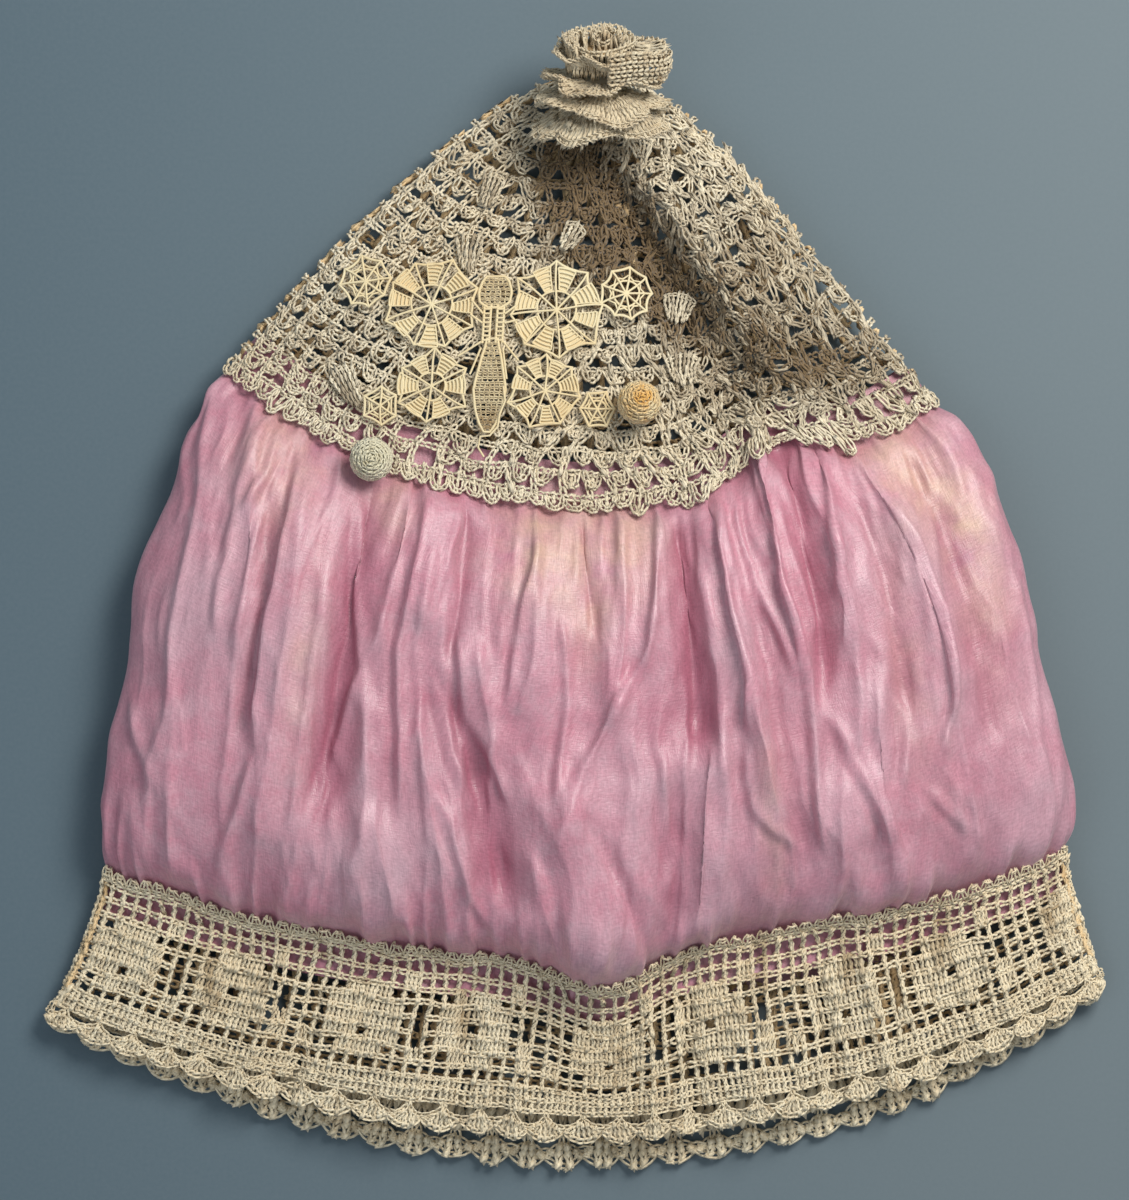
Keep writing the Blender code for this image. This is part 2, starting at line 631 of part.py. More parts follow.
def build_rose(seat, collection):
    """The rose at the peak: four dished rounds of petals and a rolled heart."""
    pitch = ROSE_WALL + CLEARANCE
    frame = rose_frame()
    meshes = [rose_round_mesh(rose_round, pitch * level) for level, rose_round in enumerate(ROSE_ROUNDS)]
    heart = bmesh.new()
    bmesh.ops.create_cone(heart, cap_ends=True, segments=14, radius1=ROSE_HEART_RADIUS,
                          radius2=ROSE_HEART_TAPER * ROSE_HEART_RADIUS, depth=ROSE_HEART_HEIGHT)
    dish = max(0.0, -ROSE_ROUNDS[-1].droop) * ROSE_HEART_RADIUS
    level = pitch * len(ROSE_ROUNDS) + dish + 0.5 * ROSE_HEART_HEIGHT
    bmesh.ops.translate(heart, verts=heart.verts, vec=(0.0, 0.0, level))
    base = cap_point(ROSE_REACH, ROSE_SIDE, front=True)
    for mesh in meshes + [heart]:
        bmesh.ops.transform(mesh, verts=mesh.verts, matrix=frame)
        bmesh.ops.translate(mesh, verts=mesh.verts, vec=(base.x, base.y, PUFF_HEIGHT))
    low = [vert.co.z - height_of(seat, vert.co.x, vert.co.y) for mesh in meshes for vert in mesh.verts]
    drop = CLEARANCE - min(low)
    for mesh in meshes + [heart]:
        bmesh.ops.translate(mesh, verts=mesh.verts, vec=(0.0, 0.0, drop))
    for mesh, rose_round in zip(meshes, ROSE_ROUNDS):
        place(rose_round.name, mesh, collection, ROSE_COTTON, ROSE_WALL, offset=1.0)
    place("rose_heart", heart, collection, ROSE_COTTON)


def build_cap():
    """Build every piece of the cap in its own collection."""
    clear_scene()
    collection = bpy.data.collections.new("boudoir_cap")
    bpy.context.scene.collection.children.link(collection)
    build_crown(collection)
    build_silk(collection)
    build_brim(collection)
    build_edging(collection)
    seat = seat_surface()
    build_body(seat, collection)
    middles = wheel_places()
    for wheel in WHEELS:
        build_wheel(wheel, middles[wheel.name], seat, collection)
    left_button = cap_point(*LEFT_BUTTON, front=True).xy
    right_button = step_away(middles["wheel_lower_right_tip"], LOW_TIP_WHEEL_RADIUS,
                             RIGHT_BUTTON_BEARING, 0.5 * BUTTON_DIAMETER)
    build_button("ball_button_left", left_button, seat, collection)
    build_button("ball_button_right", right_button, seat, collection)
    build_rose(seat, collection)


build_cap()
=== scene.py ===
"""Dressed scene of a boudoir cap: crochet crown, gathered silk puff and filet lace brim.

Everything is in metres. The stitches and the silk lie on the surface that the cap's solids follow,
so the tables of that surface stand here as they do in the model's source.
"""
import logging
import math
from dataclasses import dataclass, field
from enum import IntEnum
from typing import Any, NamedTuple, Sequence

import bmesh
import bpy
import numpy as np
from mathutils import Matrix, Vector
from mathutils.bvhtree import BVHTree

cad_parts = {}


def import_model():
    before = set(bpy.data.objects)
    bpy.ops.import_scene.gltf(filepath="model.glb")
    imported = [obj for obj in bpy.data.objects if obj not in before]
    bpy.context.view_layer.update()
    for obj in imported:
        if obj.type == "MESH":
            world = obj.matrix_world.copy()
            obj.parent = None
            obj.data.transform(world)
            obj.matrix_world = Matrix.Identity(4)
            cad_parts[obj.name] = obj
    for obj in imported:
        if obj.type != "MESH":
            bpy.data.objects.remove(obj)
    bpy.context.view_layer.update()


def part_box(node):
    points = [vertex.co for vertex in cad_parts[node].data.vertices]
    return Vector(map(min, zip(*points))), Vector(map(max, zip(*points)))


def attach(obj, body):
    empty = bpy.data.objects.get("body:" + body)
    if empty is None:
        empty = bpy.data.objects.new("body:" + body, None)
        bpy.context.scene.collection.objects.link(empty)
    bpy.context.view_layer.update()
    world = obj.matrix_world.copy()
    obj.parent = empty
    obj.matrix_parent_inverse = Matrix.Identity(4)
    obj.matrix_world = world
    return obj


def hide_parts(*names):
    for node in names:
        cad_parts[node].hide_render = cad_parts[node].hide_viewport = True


Array = np.ndarray
LOG = logging.getLogger("boudoir_cap")

CROWN_EDGE = 0.404         # reach shares: the peak is 0, the front hem is 1
BRIM_TOP = 0.840
BAND_TOP = 0.950
ARCH_TOP = 0.970
SHELL_TOP = 0.982
SEAM_LIMIT = 0.9995        # the last side that a normal can be taken at
THIN_CLOTH = 0.0003        # thickness of the cloth that backs woven and ribbed pieces


class Section(NamedTuple):
    """One loop of the cap. Angles are degrees from the front's middle line, the rest are shares."""
    reach: float
    left_angle: float
    right_angle: float
    left_flare: float
    right_flare: float
    crest: float
    side_edge: float


SECTIONS = (
    Section(0.026, 70.0, 66.0, 0.000, 0.000, 0.23, 0.10),
    Section(0.081, 70.0, 61.5, 0.000, 0.000, 0.28, 0.12),
    Section(0.147, 63.4, 55.7, 0.020, 0.020, 0.38, 0.14),
    Section(0.234, 57.5, 50.0, 0.050, 0.045, 0.50, 0.16),
    Section(0.322, 54.0, 46.8, 0.070, 0.060, 0.58, 0.18),
    Section(0.404, 51.1, 45.2, 0.081, 0.070, 0.62, 0.20),
    Section(0.478, 48.2, 43.3, 0.070, 0.050, 0.86, 0.28),
    Section(0.551, 44.2, 41.0, 0.060, 0.030, 0.97, 0.32),
    Section(0.634, 40.7, 38.0, 0.055, 0.020, 1.00, 0.34),
    Section(0.708, 36.9, 35.4, 0.055, 0.015, 0.98, 0.34),
    Section(0.781, 34.1, 33.5, 0.055, 0.015, 0.90, 0.32),
    Section(0.812, 32.8, 32.0, 0.056, 0.017, 0.74, 0.28),
    Section(0.840, 31.3, 30.4, 0.058, 0.020, 0.42, 0.20),
    Section(0.882, 30.7, 29.7, 0.052, 0.010, 0.38, 0.17),
    Section(0.928, 30.3, 29.2, 0.045, 0.000, 0.35, 0.15),
    Section(1.000, 30.3, 28.8, 0.030, -0.020, 0.31, 0.14),
)


class Fold(NamedTuple):
    """A fold down the front: a crest where rise is above zero, and a valley where it is below."""
    start: float
    end: float
    side_start: float
    side_middle: float
    side_end: float
    spread: float
    rise: float


CROWN_FOLDS = (
    Fold(0.07, 0.40, 0.03, 0.37, 0.47, 0.120, -0.27),
    Fold(0.10, 0.43, 0.36, 0.60, 0.70, 0.100, 0.06),
)
SILK_FOLDS = (
    Fold(0.41, 0.64, -0.86, -0.79, -0.76, 0.045, 0.12),
    Fold(0.42, 0.81, -0.72, -0.66, -0.71, 0.045, 0.13),
    Fold(0.40, 0.77, -0.56, -0.54, -0.57, 0.060, -0.16),
    Fold(0.40, 0.56, -0.42, -0.385, -0.40, 0.045, 0.11),
    Fold(0.57, 0.80, -0.34, -0.24, -0.17, 0.050, -0.13),
    Fold(0.54, 0.66, -0.27, -0.24, -0.21, 0.030, 0.08),
    Fold(0.41, 0.62, -0.19, -0.14, -0.18, 0.040, 0.10),
    Fold(0.41, 0.58, 0.16, 0.14, 0.09, 0.045, 0.11),
    Fold(0.56, 0.75, 0.09, -0.03, -0.10, 0.040, 0.09),
    Fold(0.41, 0.66, 0.20, 0.21, 0.21, 0.050, -0.18),
    Fold(0.37, 0.76, 0.29, 0.33, 0.39, 0.040, 0.15),
    Fold(0.35, 0.63, 0.52, 0.45, 0.46, 0.035, 0.12),
    Fold(0.38, 0.64, 0.56, 0.52, 0.49, 0.035, -0.12),
    Fold(0.40, 0.60, 0.65, 0.60, 0.54, 0.040, 0.11),
    Fold(0.42, 0.72, 0.72, 0.77, 0.78, 0.040, 0.12),
    Fold(0.42, 0.74, 0.83, 0.85, 0.84, 0.045, -0.10),
    Fold(0.64, 0.88, -0.12, -0.02, 0.01, 0.110, 0.13),
    Fold(0.66, 0.83, 0.13, 0.15, 0.13, 0.040, -0.10),
    Fold(0.70, 0.84, -0.46, -0.42, -0.38, 0.040, 0.10),
    Fold(0.68, 0.84, 0.53, 0.50, 0.55, 0.060, 0.10),
)
BRIM_FOLDS = (
    Fold(0.83, 1.04, -0.70, -0.71, -0.72, 0.050, -0.05),
    Fold(0.83, 1.04, -0.36, -0.37, -0.38, 0.050, 0.06),
    Fold(0.84, 1.04, -0.02, -0.02, -0.01, 0.060, -0.05),
    Fold(0.83, 1.04, 0.30, 0.31, 0.32, 0.050, 0.06),
    Fold(0.83, 1.04, 0.66, 0.66, 0.67, 0.050, -0.05),
)
SMALL_SILK_FOLDS = (
    Fold(0.43, 0.62, -0.93, -0.90, -0.86, 0.022, 0.05),
    Fold(0.46, 0.70, -0.80, -0.72, -0.74, 0.020, -0.06),
    Fold(0.50, 0.78, -0.61, -0.60, -0.63, 0.018, 0.06),
    Fold(0.41, 0.60, -0.47, -0.46, -0.50, 0.016, 0.06),
    Fold(0.58, 0.84, -0.50, -0.47, -0.52, 0.022, 0.07),
    Fold(0.41, 0.58, -0.34, -0.31, -0.33, 0.018, -0.07),
    Fold(0.60, 0.83, -0.38, -0.33, -0.29, 0.020, 0.06),
    Fold(0.41, 0.55, -0.05, -0.03, 0.00, 0.018, -0.06),
    Fold(0.41, 0.60, 0.05, 0.06, 0.03, 0.018, 0.06),
    Fold(0.45, 0.70, 0.25, 0.26, 0.25, 0.014, 0.06),
    Fold(0.50, 0.80, 0.37, 0.39, 0.44, 0.018, -0.07),
    Fold(0.62, 0.84, 0.24, 0.21, 0.19, 0.022, 0.07),
    Fold(0.44, 0.70, 0.68, 0.68, 0.66, 0.020, -0.06),
    Fold(0.60, 0.84, 0.62, 0.60, 0.63, 0.020, 0.06),
    Fold(0.55, 0.84, 0.90, 0.92, 0.93, 0.022, 0.05),
    Fold(0.66, 0.85, -0.88, -0.86, -0.86, 0.022, 0.06),
    Fold(0.68, 0.86, -0.05, 0.06, 0.10, 0.020, -0.07),
    Fold(0.72, 0.87, -0.14, -0.10, -0.05, 0.018, 0.06),
)
SMALL_BRIM_FOLDS = (
    Fold(0.82, 1.06, -0.86, -0.87, -0.88, 0.020, 0.045),
    Fold(0.82, 1.06, -0.62, -0.63, -0.62, 0.018, 0.050),
    Fold(0.82, 1.06, -0.54, -0.55, -0.56, 0.014, -0.060),
    Fold(0.82, 1.06, -0.26, -0.25, -0.25, 0.018, -0.050),
    Fold(0.82, 1.06, -0.16, -0.15, -0.14, 0.020, 0.050),
    Fold(0.82, 1.06, 0.09, 0.10, 0.10, 0.018, 0.055),
    Fold(0.82, 1.06, 0.18, 0.18, 0.19, 0.014, -0.055),
    Fold(0.82, 1.06, 0.44, 0.45, 0.44, 0.016, -0.050),
    Fold(0.82, 1.06, 0.54, 0.55, 0.56, 0.018, 0.050),
    Fold(0.82, 1.06, 0.80, 0.80, 0.81, 0.020, 0.050),
    Fold(0.82, 1.06, 0.90, 0.90, 0.91, 0.014, -0.050),
)


class Drift(NamedTuple):
    """Where a sewn line leaves its even course: it dips below it, or rises above it if negative."""
    line: float
    side: float
    spread: float
    dip: float


DRIFTS = (
    Drift(CROWN_EDGE, 0.53, 0.17, -0.031),
    Drift(BRIM_TOP, 0.01, 0.11, 0.028),
    Drift(BRIM_TOP, 0.40, 0.30, -0.013),
)


def smooth(low: float, high: float, value: Array) -> Array:
    """Ease from 0 at low to 1 at high."""
    share = np.clip((value - low) / (high - low), 0.0, 1.0)
    return share * share * (3.0 - 2.0 * share)


def bell(value: Array, middle: Any, spread: float) -> Array:
    """A round bump that is 1 in its middle."""
    return np.exp(-((value - middle) / spread) ** 2)


def unit(vectors: Array) -> Array:
    """The vectors at length one."""
    return vectors / np.maximum(np.linalg.norm(vectors, axis=-1, keepdims=True), 1e-12)


def compass(turns: Any) -> Array:
    """Vectors of length one in the plane, at angles in radians."""
    return np.stack([np.cos(turns), np.sin(turns)], -1)


def run_along(path: Array) -> Array:
    """How far along a path each of its points is."""
    return np.concatenate([[0.0], np.cumsum(np.linalg.norm(np.diff(path, axis=0), axis=1))])


class Unevenness:
    """Smooth seeded unevenness over a plane, from about -1 to 1."""

    SIZE = 97

    def __init__(self, seed: int) -> None:
        """Draw the lattice that the unevenness runs through."""
        self.lattice = np.random.default_rng(seed).uniform(-1.0, 1.0, (self.SIZE, self.SIZE))

    def at(self, x: Array, y: Array) -> Array:
        """Read the unevenness.

        Args:
            x: Places along the first way, one lattice step a unit.
            y: Places along the second way.

        Returns:
            The unevenness at each place.
        """
        x, y = np.broadcast_arrays(x, y)
        left, low = np.floor(x).astype(int), np.floor(y).astype(int)
        u, v = smooth(0.0, 1.0, x - left), smooth(0.0, 1.0, y - low)

        def corner(dx: int, dy: int) -> Array:
            """The lattice's values at one corner of every place's cell."""
            return self.lattice[(left + dx) % self.SIZE, (low + dy) % self.SIZE]

        near = corner(0, 0) * (1 - u) + corner(1, 0) * u
        far = corner(0, 1) * (1 - u) + corner(1, 1) * u
        return near * (1 - v) + far * v

    def ridges(self, x: Array, y: Array) -> Array:
        """Sharp crests with round valleys between, from 0 to 1."""
        return 1.0 - np.minimum(1.0, 1.9 * np.abs(self.at(x, y)))


@dataclass(frozen=True)
class CapForm:
    """The surface of the lying cap, which every stitch and every fold follows."""
    front_reach: float = 0.299
    peak_y: float = 0.151
    puff_height: float = 0.038
    back_drop: float = 0.0085
    drift_reach: float = 0.11
    folds: tuple[Fold, ...] = CROWN_FOLDS + SILK_FOLDS + BRIM_FOLDS

    def section(self, reach: Array) -> Array:
        """The section's values at each reach, on smooth curves through the table's rows."""
        table = np.array(SECTIONS)
        last = len(table) - 2
        index = np.clip(np.searchsorted(table[:, 0], reach) - 1, 0, last)
        before, here = table[np.maximum(index - 1, 0)], table[index]
        after, beyond = table[index + 1], table[np.minimum(index + 2, last + 1)]
        span = after[..., :1] - here[..., :1]
        share = (np.asarray(reach)[..., None] - here[..., :1]) / span
        slope_here = (after - before) / (after[..., :1] - before[..., :1]) * span
        slope_after = (beyond - here) / (beyond[..., :1] - here[..., :1]) * span
        square, cube = share ** 2, share ** 3
        return ((2 * cube - 3 * square + 1) * here + (cube - 2 * square + share) * slope_here
                + (3 * square - 2 * cube) * after + (cube - square) * slope_after)

    def relief(self, reach: Array, side: Array) -> Array:
        """Height that the folds add to the front, in metres."""
        lift = np.zeros(np.broadcast(reach, side).shape)
        for fold in self.folds:
            share = (reach - fold.start) / (fold.end - fold.start)
            bend = 2 * fold.side_middle - 0.5 * (fold.side_start + fold.side_end)
            middle = ((1 - share) ** 2 * fold.side_start + share ** 2 * fold.side_end
                      + 2 * share * (1 - share) * bend)
            fade = smooth(0.0, 0.22, share) * smooth(0.0, 0.22, 1.0 - share)
            lift += fold.rise * fade * self.fold_profile((side - middle) / fold.spread)
        return lift * self.puff_height * (1.0 - np.abs(side) ** 8)

    def fold_profile(self, across: Array) -> Array:
        """Height of a fold across it, in shares of its rise."""
        return np.exp(-across ** 2)

    def point(self, reach: Array, side: Array, front: bool) -> Array:
        """Points of the cap's outer surface.

        Args:
            reach: Shares of the way from the peak to the front hem.
            side: -1 at the left side edge to 1 at the right.
            front: Whether the points lie on the front or on the back layer.

        Returns:
            The points, in metres.
        """
        reach, side = np.broadcast_arrays(np.asarray(reach, float), np.asarray(side, float))
        _, left_angle, right_angle, left_flare, right_flare, crest, edge = np.moveaxis(
            self.section(reach), -1, 0)
        angle = np.radians(np.where(side > 0, right_angle, left_angle)) * side
        flare = np.where(side > 0, right_flare, left_flare)
        moved = reach
        if front:
            moved = reach + sum(drift.dip * bell(side, drift.side, drift.spread)
                                * bell(reach, drift.line, self.drift_reach) for drift in DRIFTS)
        radius = self.front_reach * moved * (1.0 + flare * side * side)
        if front:
            arch = np.sqrt(np.maximum(0.0, 1.0 - np.abs(side) ** 3))
            height = self.puff_height * (edge + (crest - edge) * arch) + self.relief(reach, side)
        else:
            radius = radius + self.back_drop * (1.0 - side * side) * smooth(0.87, 1.0, reach)
            rolled = np.maximum(0.0, (np.abs(side) - 0.62) / 0.38)
            height = self.puff_height * edge * (1.0 - np.sqrt(np.maximum(0.0, 1.0 - rolled ** 2)))
        return np.stack([radius * np.sin(angle), self.peak_y - radius * np.cos(angle), height], -1)

    def frame(self, reach: Array, side: Array, front: bool) -> tuple[Array, Array]:
        """Points of the surface and the outward normals there."""
        step = 0.004
        across = (self.point(reach, np.minimum(side + step, SEAM_LIMIT), front)
                  - self.point(reach, np.maximum(side - step, -SEAM_LIMIT), front))
        down = self.point(reach + step, side, front) - self.point(reach - step, side, front)
        normal = np.cross(down, across) if front else np.cross(across, down)
        return self.point(reach, side, front), unit(normal)

    def sides(self, reach: float, shares: Array, front: bool, limit: float = 1.0) -> Array:
        """Sides at even shares of the way across, measured on the cloth.

        Args:
            reach: The row's reach share.
            shares: Shares of the way from the left side edge to the right.
            front: Whether on the front or on the back layer.
            limit: Side at which the way ends, short of the side edge.

        Returns:
            The sides.
        """
        fine = limit * np.sin(np.linspace(-0.5, 0.5, 601) * math.pi)
        points = self.point(np.full(fine.shape, reach), fine, front)
        run = run_along(points)
        return np.interp(np.asarray(shares) * run[-1], run, fine)

    def width(self, reach: float, front: bool) -> float:
        """Length of a row across, measured on the cloth."""
        fine = np.sin(np.linspace(-0.5, 0.5, 301) * math.pi)
        points = self.point(np.full(fine.shape, reach), fine, front)
        return float(run_along(points)[-1])


@dataclass(frozen=True)
class BrimForm(CapForm):
    """The cap's surface with the small ruffles of the brim."""
    ruffle: float = 0.0011

    def relief(self, reach: Array, side: Array) -> Array:
        """The folds, and ruffles that grow towards the hem."""
        flutter = WANDER.ridges(np.asarray(side) * 17.0 + 3.0, np.asarray(reach) * 5.0) - 0.4
        return super().relief(reach, side) + self.ruffle * flutter * smooth(0.83, 0.98, reach)


class Stitch(IntEnum):
    """The stitches that the lace is laid from."""
    POST = 0
    LINK = 1
    CORD = 2


@dataclass(frozen=True)
class StitchPatterns:
    """One small mesh for each stitch, a unit long, wide and high."""
    sides: int = 3

    def strand(self, mesh: bmesh.types.BMesh, path: Sequence[Vector], radius: float, turns: float) -> None:
        """Add a closed strand along a path, with the turns of its plies as its own coordinates."""
        rings, ply = [], mesh.loops.layers.uv.get("UVMap") or mesh.loops.layers.uv.new("UVMap")
        for index, place in enumerate(path):
            ahead = path[min(index + 1, len(path) - 1)] - path[max(index - 1, 0)]
            turn = ahead.to_track_quat("X", "Z")
            rings.append([mesh.verts.new(place + turn @ (radius * Vector((
                0.0, math.cos(math.tau * step / self.sides), math.sin(math.tau * step / self.sides)))))
                for step in range(self.sides)])
        for place, (ring, following) in enumerate(zip(rings, rings[1:])):
            for step in range(self.sides):
                after = (step + 1) % self.sides
                face = mesh.faces.new((ring[step], ring[after], following[after], following[step]))
                for loop, along, around in zip(face.loops, (0, 0, 1, 1), (0, 1, 1, 0)):
                    loop[ply].uv = (turns * (place + along) / (len(path) - 1), (step + around) / self.sides)
        mesh.faces.new(rings[0][::-1])
        mesh.faces.new(rings[-1])

    def paths(self, stitch: Stitch) -> tuple[list[list[Vector]], float, float]:
        """The strands of a stitch, their radius and how many turns their plies make."""
        if stitch is Stitch.POST:
            turns = [(share, math.tau * 1.9 * share) for share in np.linspace(0.0, 1.0, 7)]
            return [[Vector((share - 0.5, 0.27 * math.cos(turn + start), 0.27 * math.sin(turn + start)))
                     for share, turn in turns] for start in (0.0, math.pi)], 0.25, 6.0
        if stitch is Stitch.LINK:
            half = ((-0.72, 0.06, -0.16), (-0.38, 0.30, 0.14), (0.0, 0.34, 0.20), (0.36, 0.24, 0.05),
                    (0.60, 0.05, -0.20))
            return [[Vector((x, flip * y, z)) for x, y, z in half] for flip in (1, -1)], 0.21, 2.5
        return [[Vector((x, 0.0, 0.0)) for x in (-0.56, 0.0, 0.56)]], 0.42, 2.0

    def collection(self) -> bpy.types.Collection:
        """Make the stitches and put them in a collection that isn't in the scene."""
        patterns = bpy.data.collections.new("stitch_patterns")
        for stitch in Stitch:
            strands, radius, turns = self.paths(stitch)
            mesh = bmesh.new()
            for path in strands:
                self.strand(mesh, path, radius, turns)
            bmesh.ops.recalc_face_normals(mesh, faces=mesh.faces)
            for face in mesh.faces:
                face.smooth = len(face.verts) == 4
            data = bpy.data.meshes.new(f"stitch_{stitch.value:02d}")
            mesh.to_mesh(data)
            mesh.free()
            patterns.objects.link(bpy.data.objects.new(data.name, data))
        return patterns


class PieceTree:
    """A node tree with named inputs that makes a piece's final mesh from its points or edges."""

    def __init__(self, name: str, inputs: Sequence[tuple[str, str]]) -> None:
        """Make the tree's sockets and keep the identifiers of its inputs."""
        self.tree = bpy.data.node_groups.new(name, "GeometryNodeTree")
        self.tree.is_modifier = True
        face = self.tree.interface
        face.new_socket("Geometry", in_out="INPUT", socket_type="NodeSocketGeometry")
        made = {label: face.new_socket(label, in_out="INPUT", socket_type=f"NodeSocket{kind}")
                for label, kind in inputs}
        self.inputs = {label: socket.identifier for label, socket in made.items()}
        face.new_socket("Geometry", in_out="OUTPUT", socket_type="NodeSocketGeometry")

    def read(self, name: str, kind: str) -> bpy.types.NodeSocket:
        """A socket that reads one attribute of the piece's points."""
        node = self.tree.nodes.new("GeometryNodeInputNamedAttribute")
        node.data_type = kind
        node.inputs["Name"].default_value = name
        return next(socket for socket in node.outputs if socket.enabled and socket.name == "Attribute")

    def apply(self, piece: bpy.types.Object, finish: bpy.types.Material, values: dict[str, Any]) -> None:
        """Put what the tree makes of a piece in the piece's place, as a plain smooth mesh.

        Args:
            piece: The object that holds the points or edges, in the scene.
            finish: The material of the piece.
            values: The tree's other inputs, by name.
        """
        modifier = piece.modifiers.new(self.tree.name, "NODES")
        modifier.node_group = self.tree
        for name, value in {**values, "Finish": finish}.items():
            modifier[self.inputs[name]] = value
        graph = bpy.context.evaluated_depsgraph_get()
        made = bpy.data.meshes.new_from_object(piece.evaluated_get(graph), preserve_all_data_layers=True,
                                               depsgraph=graph)
        piece.modifiers.clear()
        piece.data = made
        if not made.materials:
            made.materials.append(finish)
        made.shade_smooth()


class LayingTree(PieceTree):
    """The node tree that lays a stitch at every point of a chart."""

    def __init__(self) -> None:
        """Make the stitches, place the nodes and join them."""
        super().__init__("Lay stitches", (("Stitch patterns", "Collection"), ("Finish", "Material"),
                                          ("Fullness", "Float")))
        self.patterns = StitchPatterns().collection()
        nodes = self.tree.nodes
        given, out = nodes.new("NodeGroupInput"), nodes.new("NodeGroupOutput")
        patterns = nodes.new("GeometryNodeCollectionInfo")
        patterns.inputs["Separate Children"].default_value = True
        patterns.inputs["Reset Children"].default_value = True
        turn = nodes.new("FunctionNodeAxesToRotation")
        turn.primary_axis, turn.secondary_axis = "Z", "X"
        fuller, fullness = nodes.new("ShaderNodeVectorMath"), nodes.new("ShaderNodeCombineXYZ")
        fuller.operation = "MULTIPLY"
        fullness.inputs["X"].default_value = 1.0
        lay = nodes.new("GeometryNodeInstanceOnPoints")
        lay.inputs["Pick Instance"].default_value = True
        shade = nodes.new("GeometryNodeStoreNamedAttribute")
        shade.data_type, shade.domain = "FLOAT", "INSTANCE"
        shade.inputs["Name"].default_value = "shade"
        real, dress_up = nodes.new("GeometryNodeRealizeInstances"), nodes.new("GeometryNodeSetMaterial")
        join_nodes(self.tree,
                   (given.outputs["Stitch patterns"], patterns.inputs["Collection"]),
                   (self.read("normal", "FLOAT_VECTOR"), turn.inputs["Primary Axis"]),
                   (self.read("along", "FLOAT_VECTOR"), turn.inputs["Secondary Axis"]),
                   (given.outputs["Fullness"], fullness.inputs["Y"]),
                   (given.outputs["Fullness"], fullness.inputs["Z"]),
                   (self.read("size", "FLOAT_VECTOR"), fuller.inputs[0]),
                   (fullness.outputs["Vector"], fuller.inputs[1]),
                   (given.outputs["Geometry"], lay.inputs["Points"]),
                   (patterns.outputs["Instances"], lay.inputs["Instance"]),
                   (self.read("stitch", "INT"), lay.inputs["Instance Index"]),
                   (turn.outputs["Rotation"], lay.inputs["Rotation"]),
                   (fuller.outputs["Vector"], lay.inputs["Scale"]),
                   (lay.outputs["Instances"], shade.inputs["Geometry"]),
                   (self.read("shade", "FLOAT"), shade.inputs["Value"]),
                   (shade.outputs["Geometry"], real.inputs["Geometry"]),
                   (real.outputs["Geometry"], dress_up.inputs["Geometry"]),
                   (given.outputs["Finish"], dress_up.inputs["Material"]),
                   (dress_up.outputs["Geometry"], out.inputs["Geometry"]))


class WindingTree(PieceTree):
    """The node tree that winds a round cord along every edge path of a mesh."""

    def __init__(self) -> None:
        """Place the nodes and join them."""
        super().__init__("Wind cords", (("Finish", "Material"), ("Sides", "Int")))
        nodes = self.tree.nodes
        given, out = nodes.new("NodeGroupInput"), nodes.new("NodeGroupOutput")
        curve, radius = nodes.new("GeometryNodeMeshToCurve"), nodes.new("GeometryNodeSetCurveRadius")
        ring, tube = nodes.new("GeometryNodeCurvePrimitiveCircle"), nodes.new("GeometryNodeCurveToMesh")
        ring.inputs["Radius"].default_value = 1.0
        tube.inputs["Fill Caps"].default_value = True
        real, dress_up = nodes.new("GeometryNodeRealizeInstances"), nodes.new("GeometryNodeSetMaterial")
        thickness = self.read("thickness", "FLOAT")
        join_nodes(self.tree,
                   (given.outputs["Geometry"], curve.inputs["Mesh"]),
                   (curve.outputs["Curve"], radius.inputs["Curve"]),
                   (thickness, radius.inputs["Radius"]),
                   (given.outputs["Sides"], ring.inputs["Resolution"]),
                   (radius.outputs["Curve"], tube.inputs["Curve"]),
                   (ring.outputs["Curve"], tube.inputs["Profile Curve"]),
                   (tube.outputs["Mesh"], real.inputs["Geometry"]),
                   (real.outputs["Geometry"], dress_up.inputs["Geometry"]),
                   (given.outputs["Finish"], dress_up.inputs["Material"]),
                   (dress_up.outputs["Geometry"], out.inputs["Geometry"]))
        if "Scale" in tube.inputs:
            join_nodes(self.tree, (thickness, tube.inputs["Scale"]))


def new_piece(name: str, points: Array, edges: Any = (), faces: Any = ()) -> bpy.types.Object:
    """A named object in the scene from points and their edges or faces."""
    data = bpy.data.meshes.new(name)
    data.from_pydata(np.asarray(points).tolist(), edges, faces)
    return put_in_scene(data)


def put_in_scene(data: bpy.types.Mesh) -> bpy.types.Object:
    """An object in the scene for a mesh, by the mesh's name."""
    piece = bpy.data.objects.new(data.name, data)
    bpy.context.scene.collection.objects.link(piece)
    return piece


def finished_piece(mesh: bmesh.types.BMesh, name: str, finish: bpy.types.Material, even: bool = True) -> Any:
    """A named object in the scene from a mesh under way, which is freed, with a smooth or a flat surface."""
    data = bpy.data.meshes.new(name)
    mesh.to_mesh(data)
    mesh.free()
    data.materials.append(finish)
    if even:
        data.shade_smooth()
    return put_in_scene(data)


def give_attribute(data: bpy.types.Mesh, name: str, kind: str, values: Array) -> None:
    """Store one value for each point of a mesh."""
    attribute = data.attributes.new(name, kind, "POINT")
    attribute.data.foreach_set("vector" if kind == "FLOAT_VECTOR" else "value", np.ravel(values))


class TonePatch(NamedTuple):
    """A patch where the stitches are mixed towards the thread's dark colour: brown thread with painted shade
    in fold valleys on the lace, and the golden top of a button. Its middle and its spread, seen from above.
    """
    x: float
    y: float
    spread_x: float
    spread_y: float
    strength: float
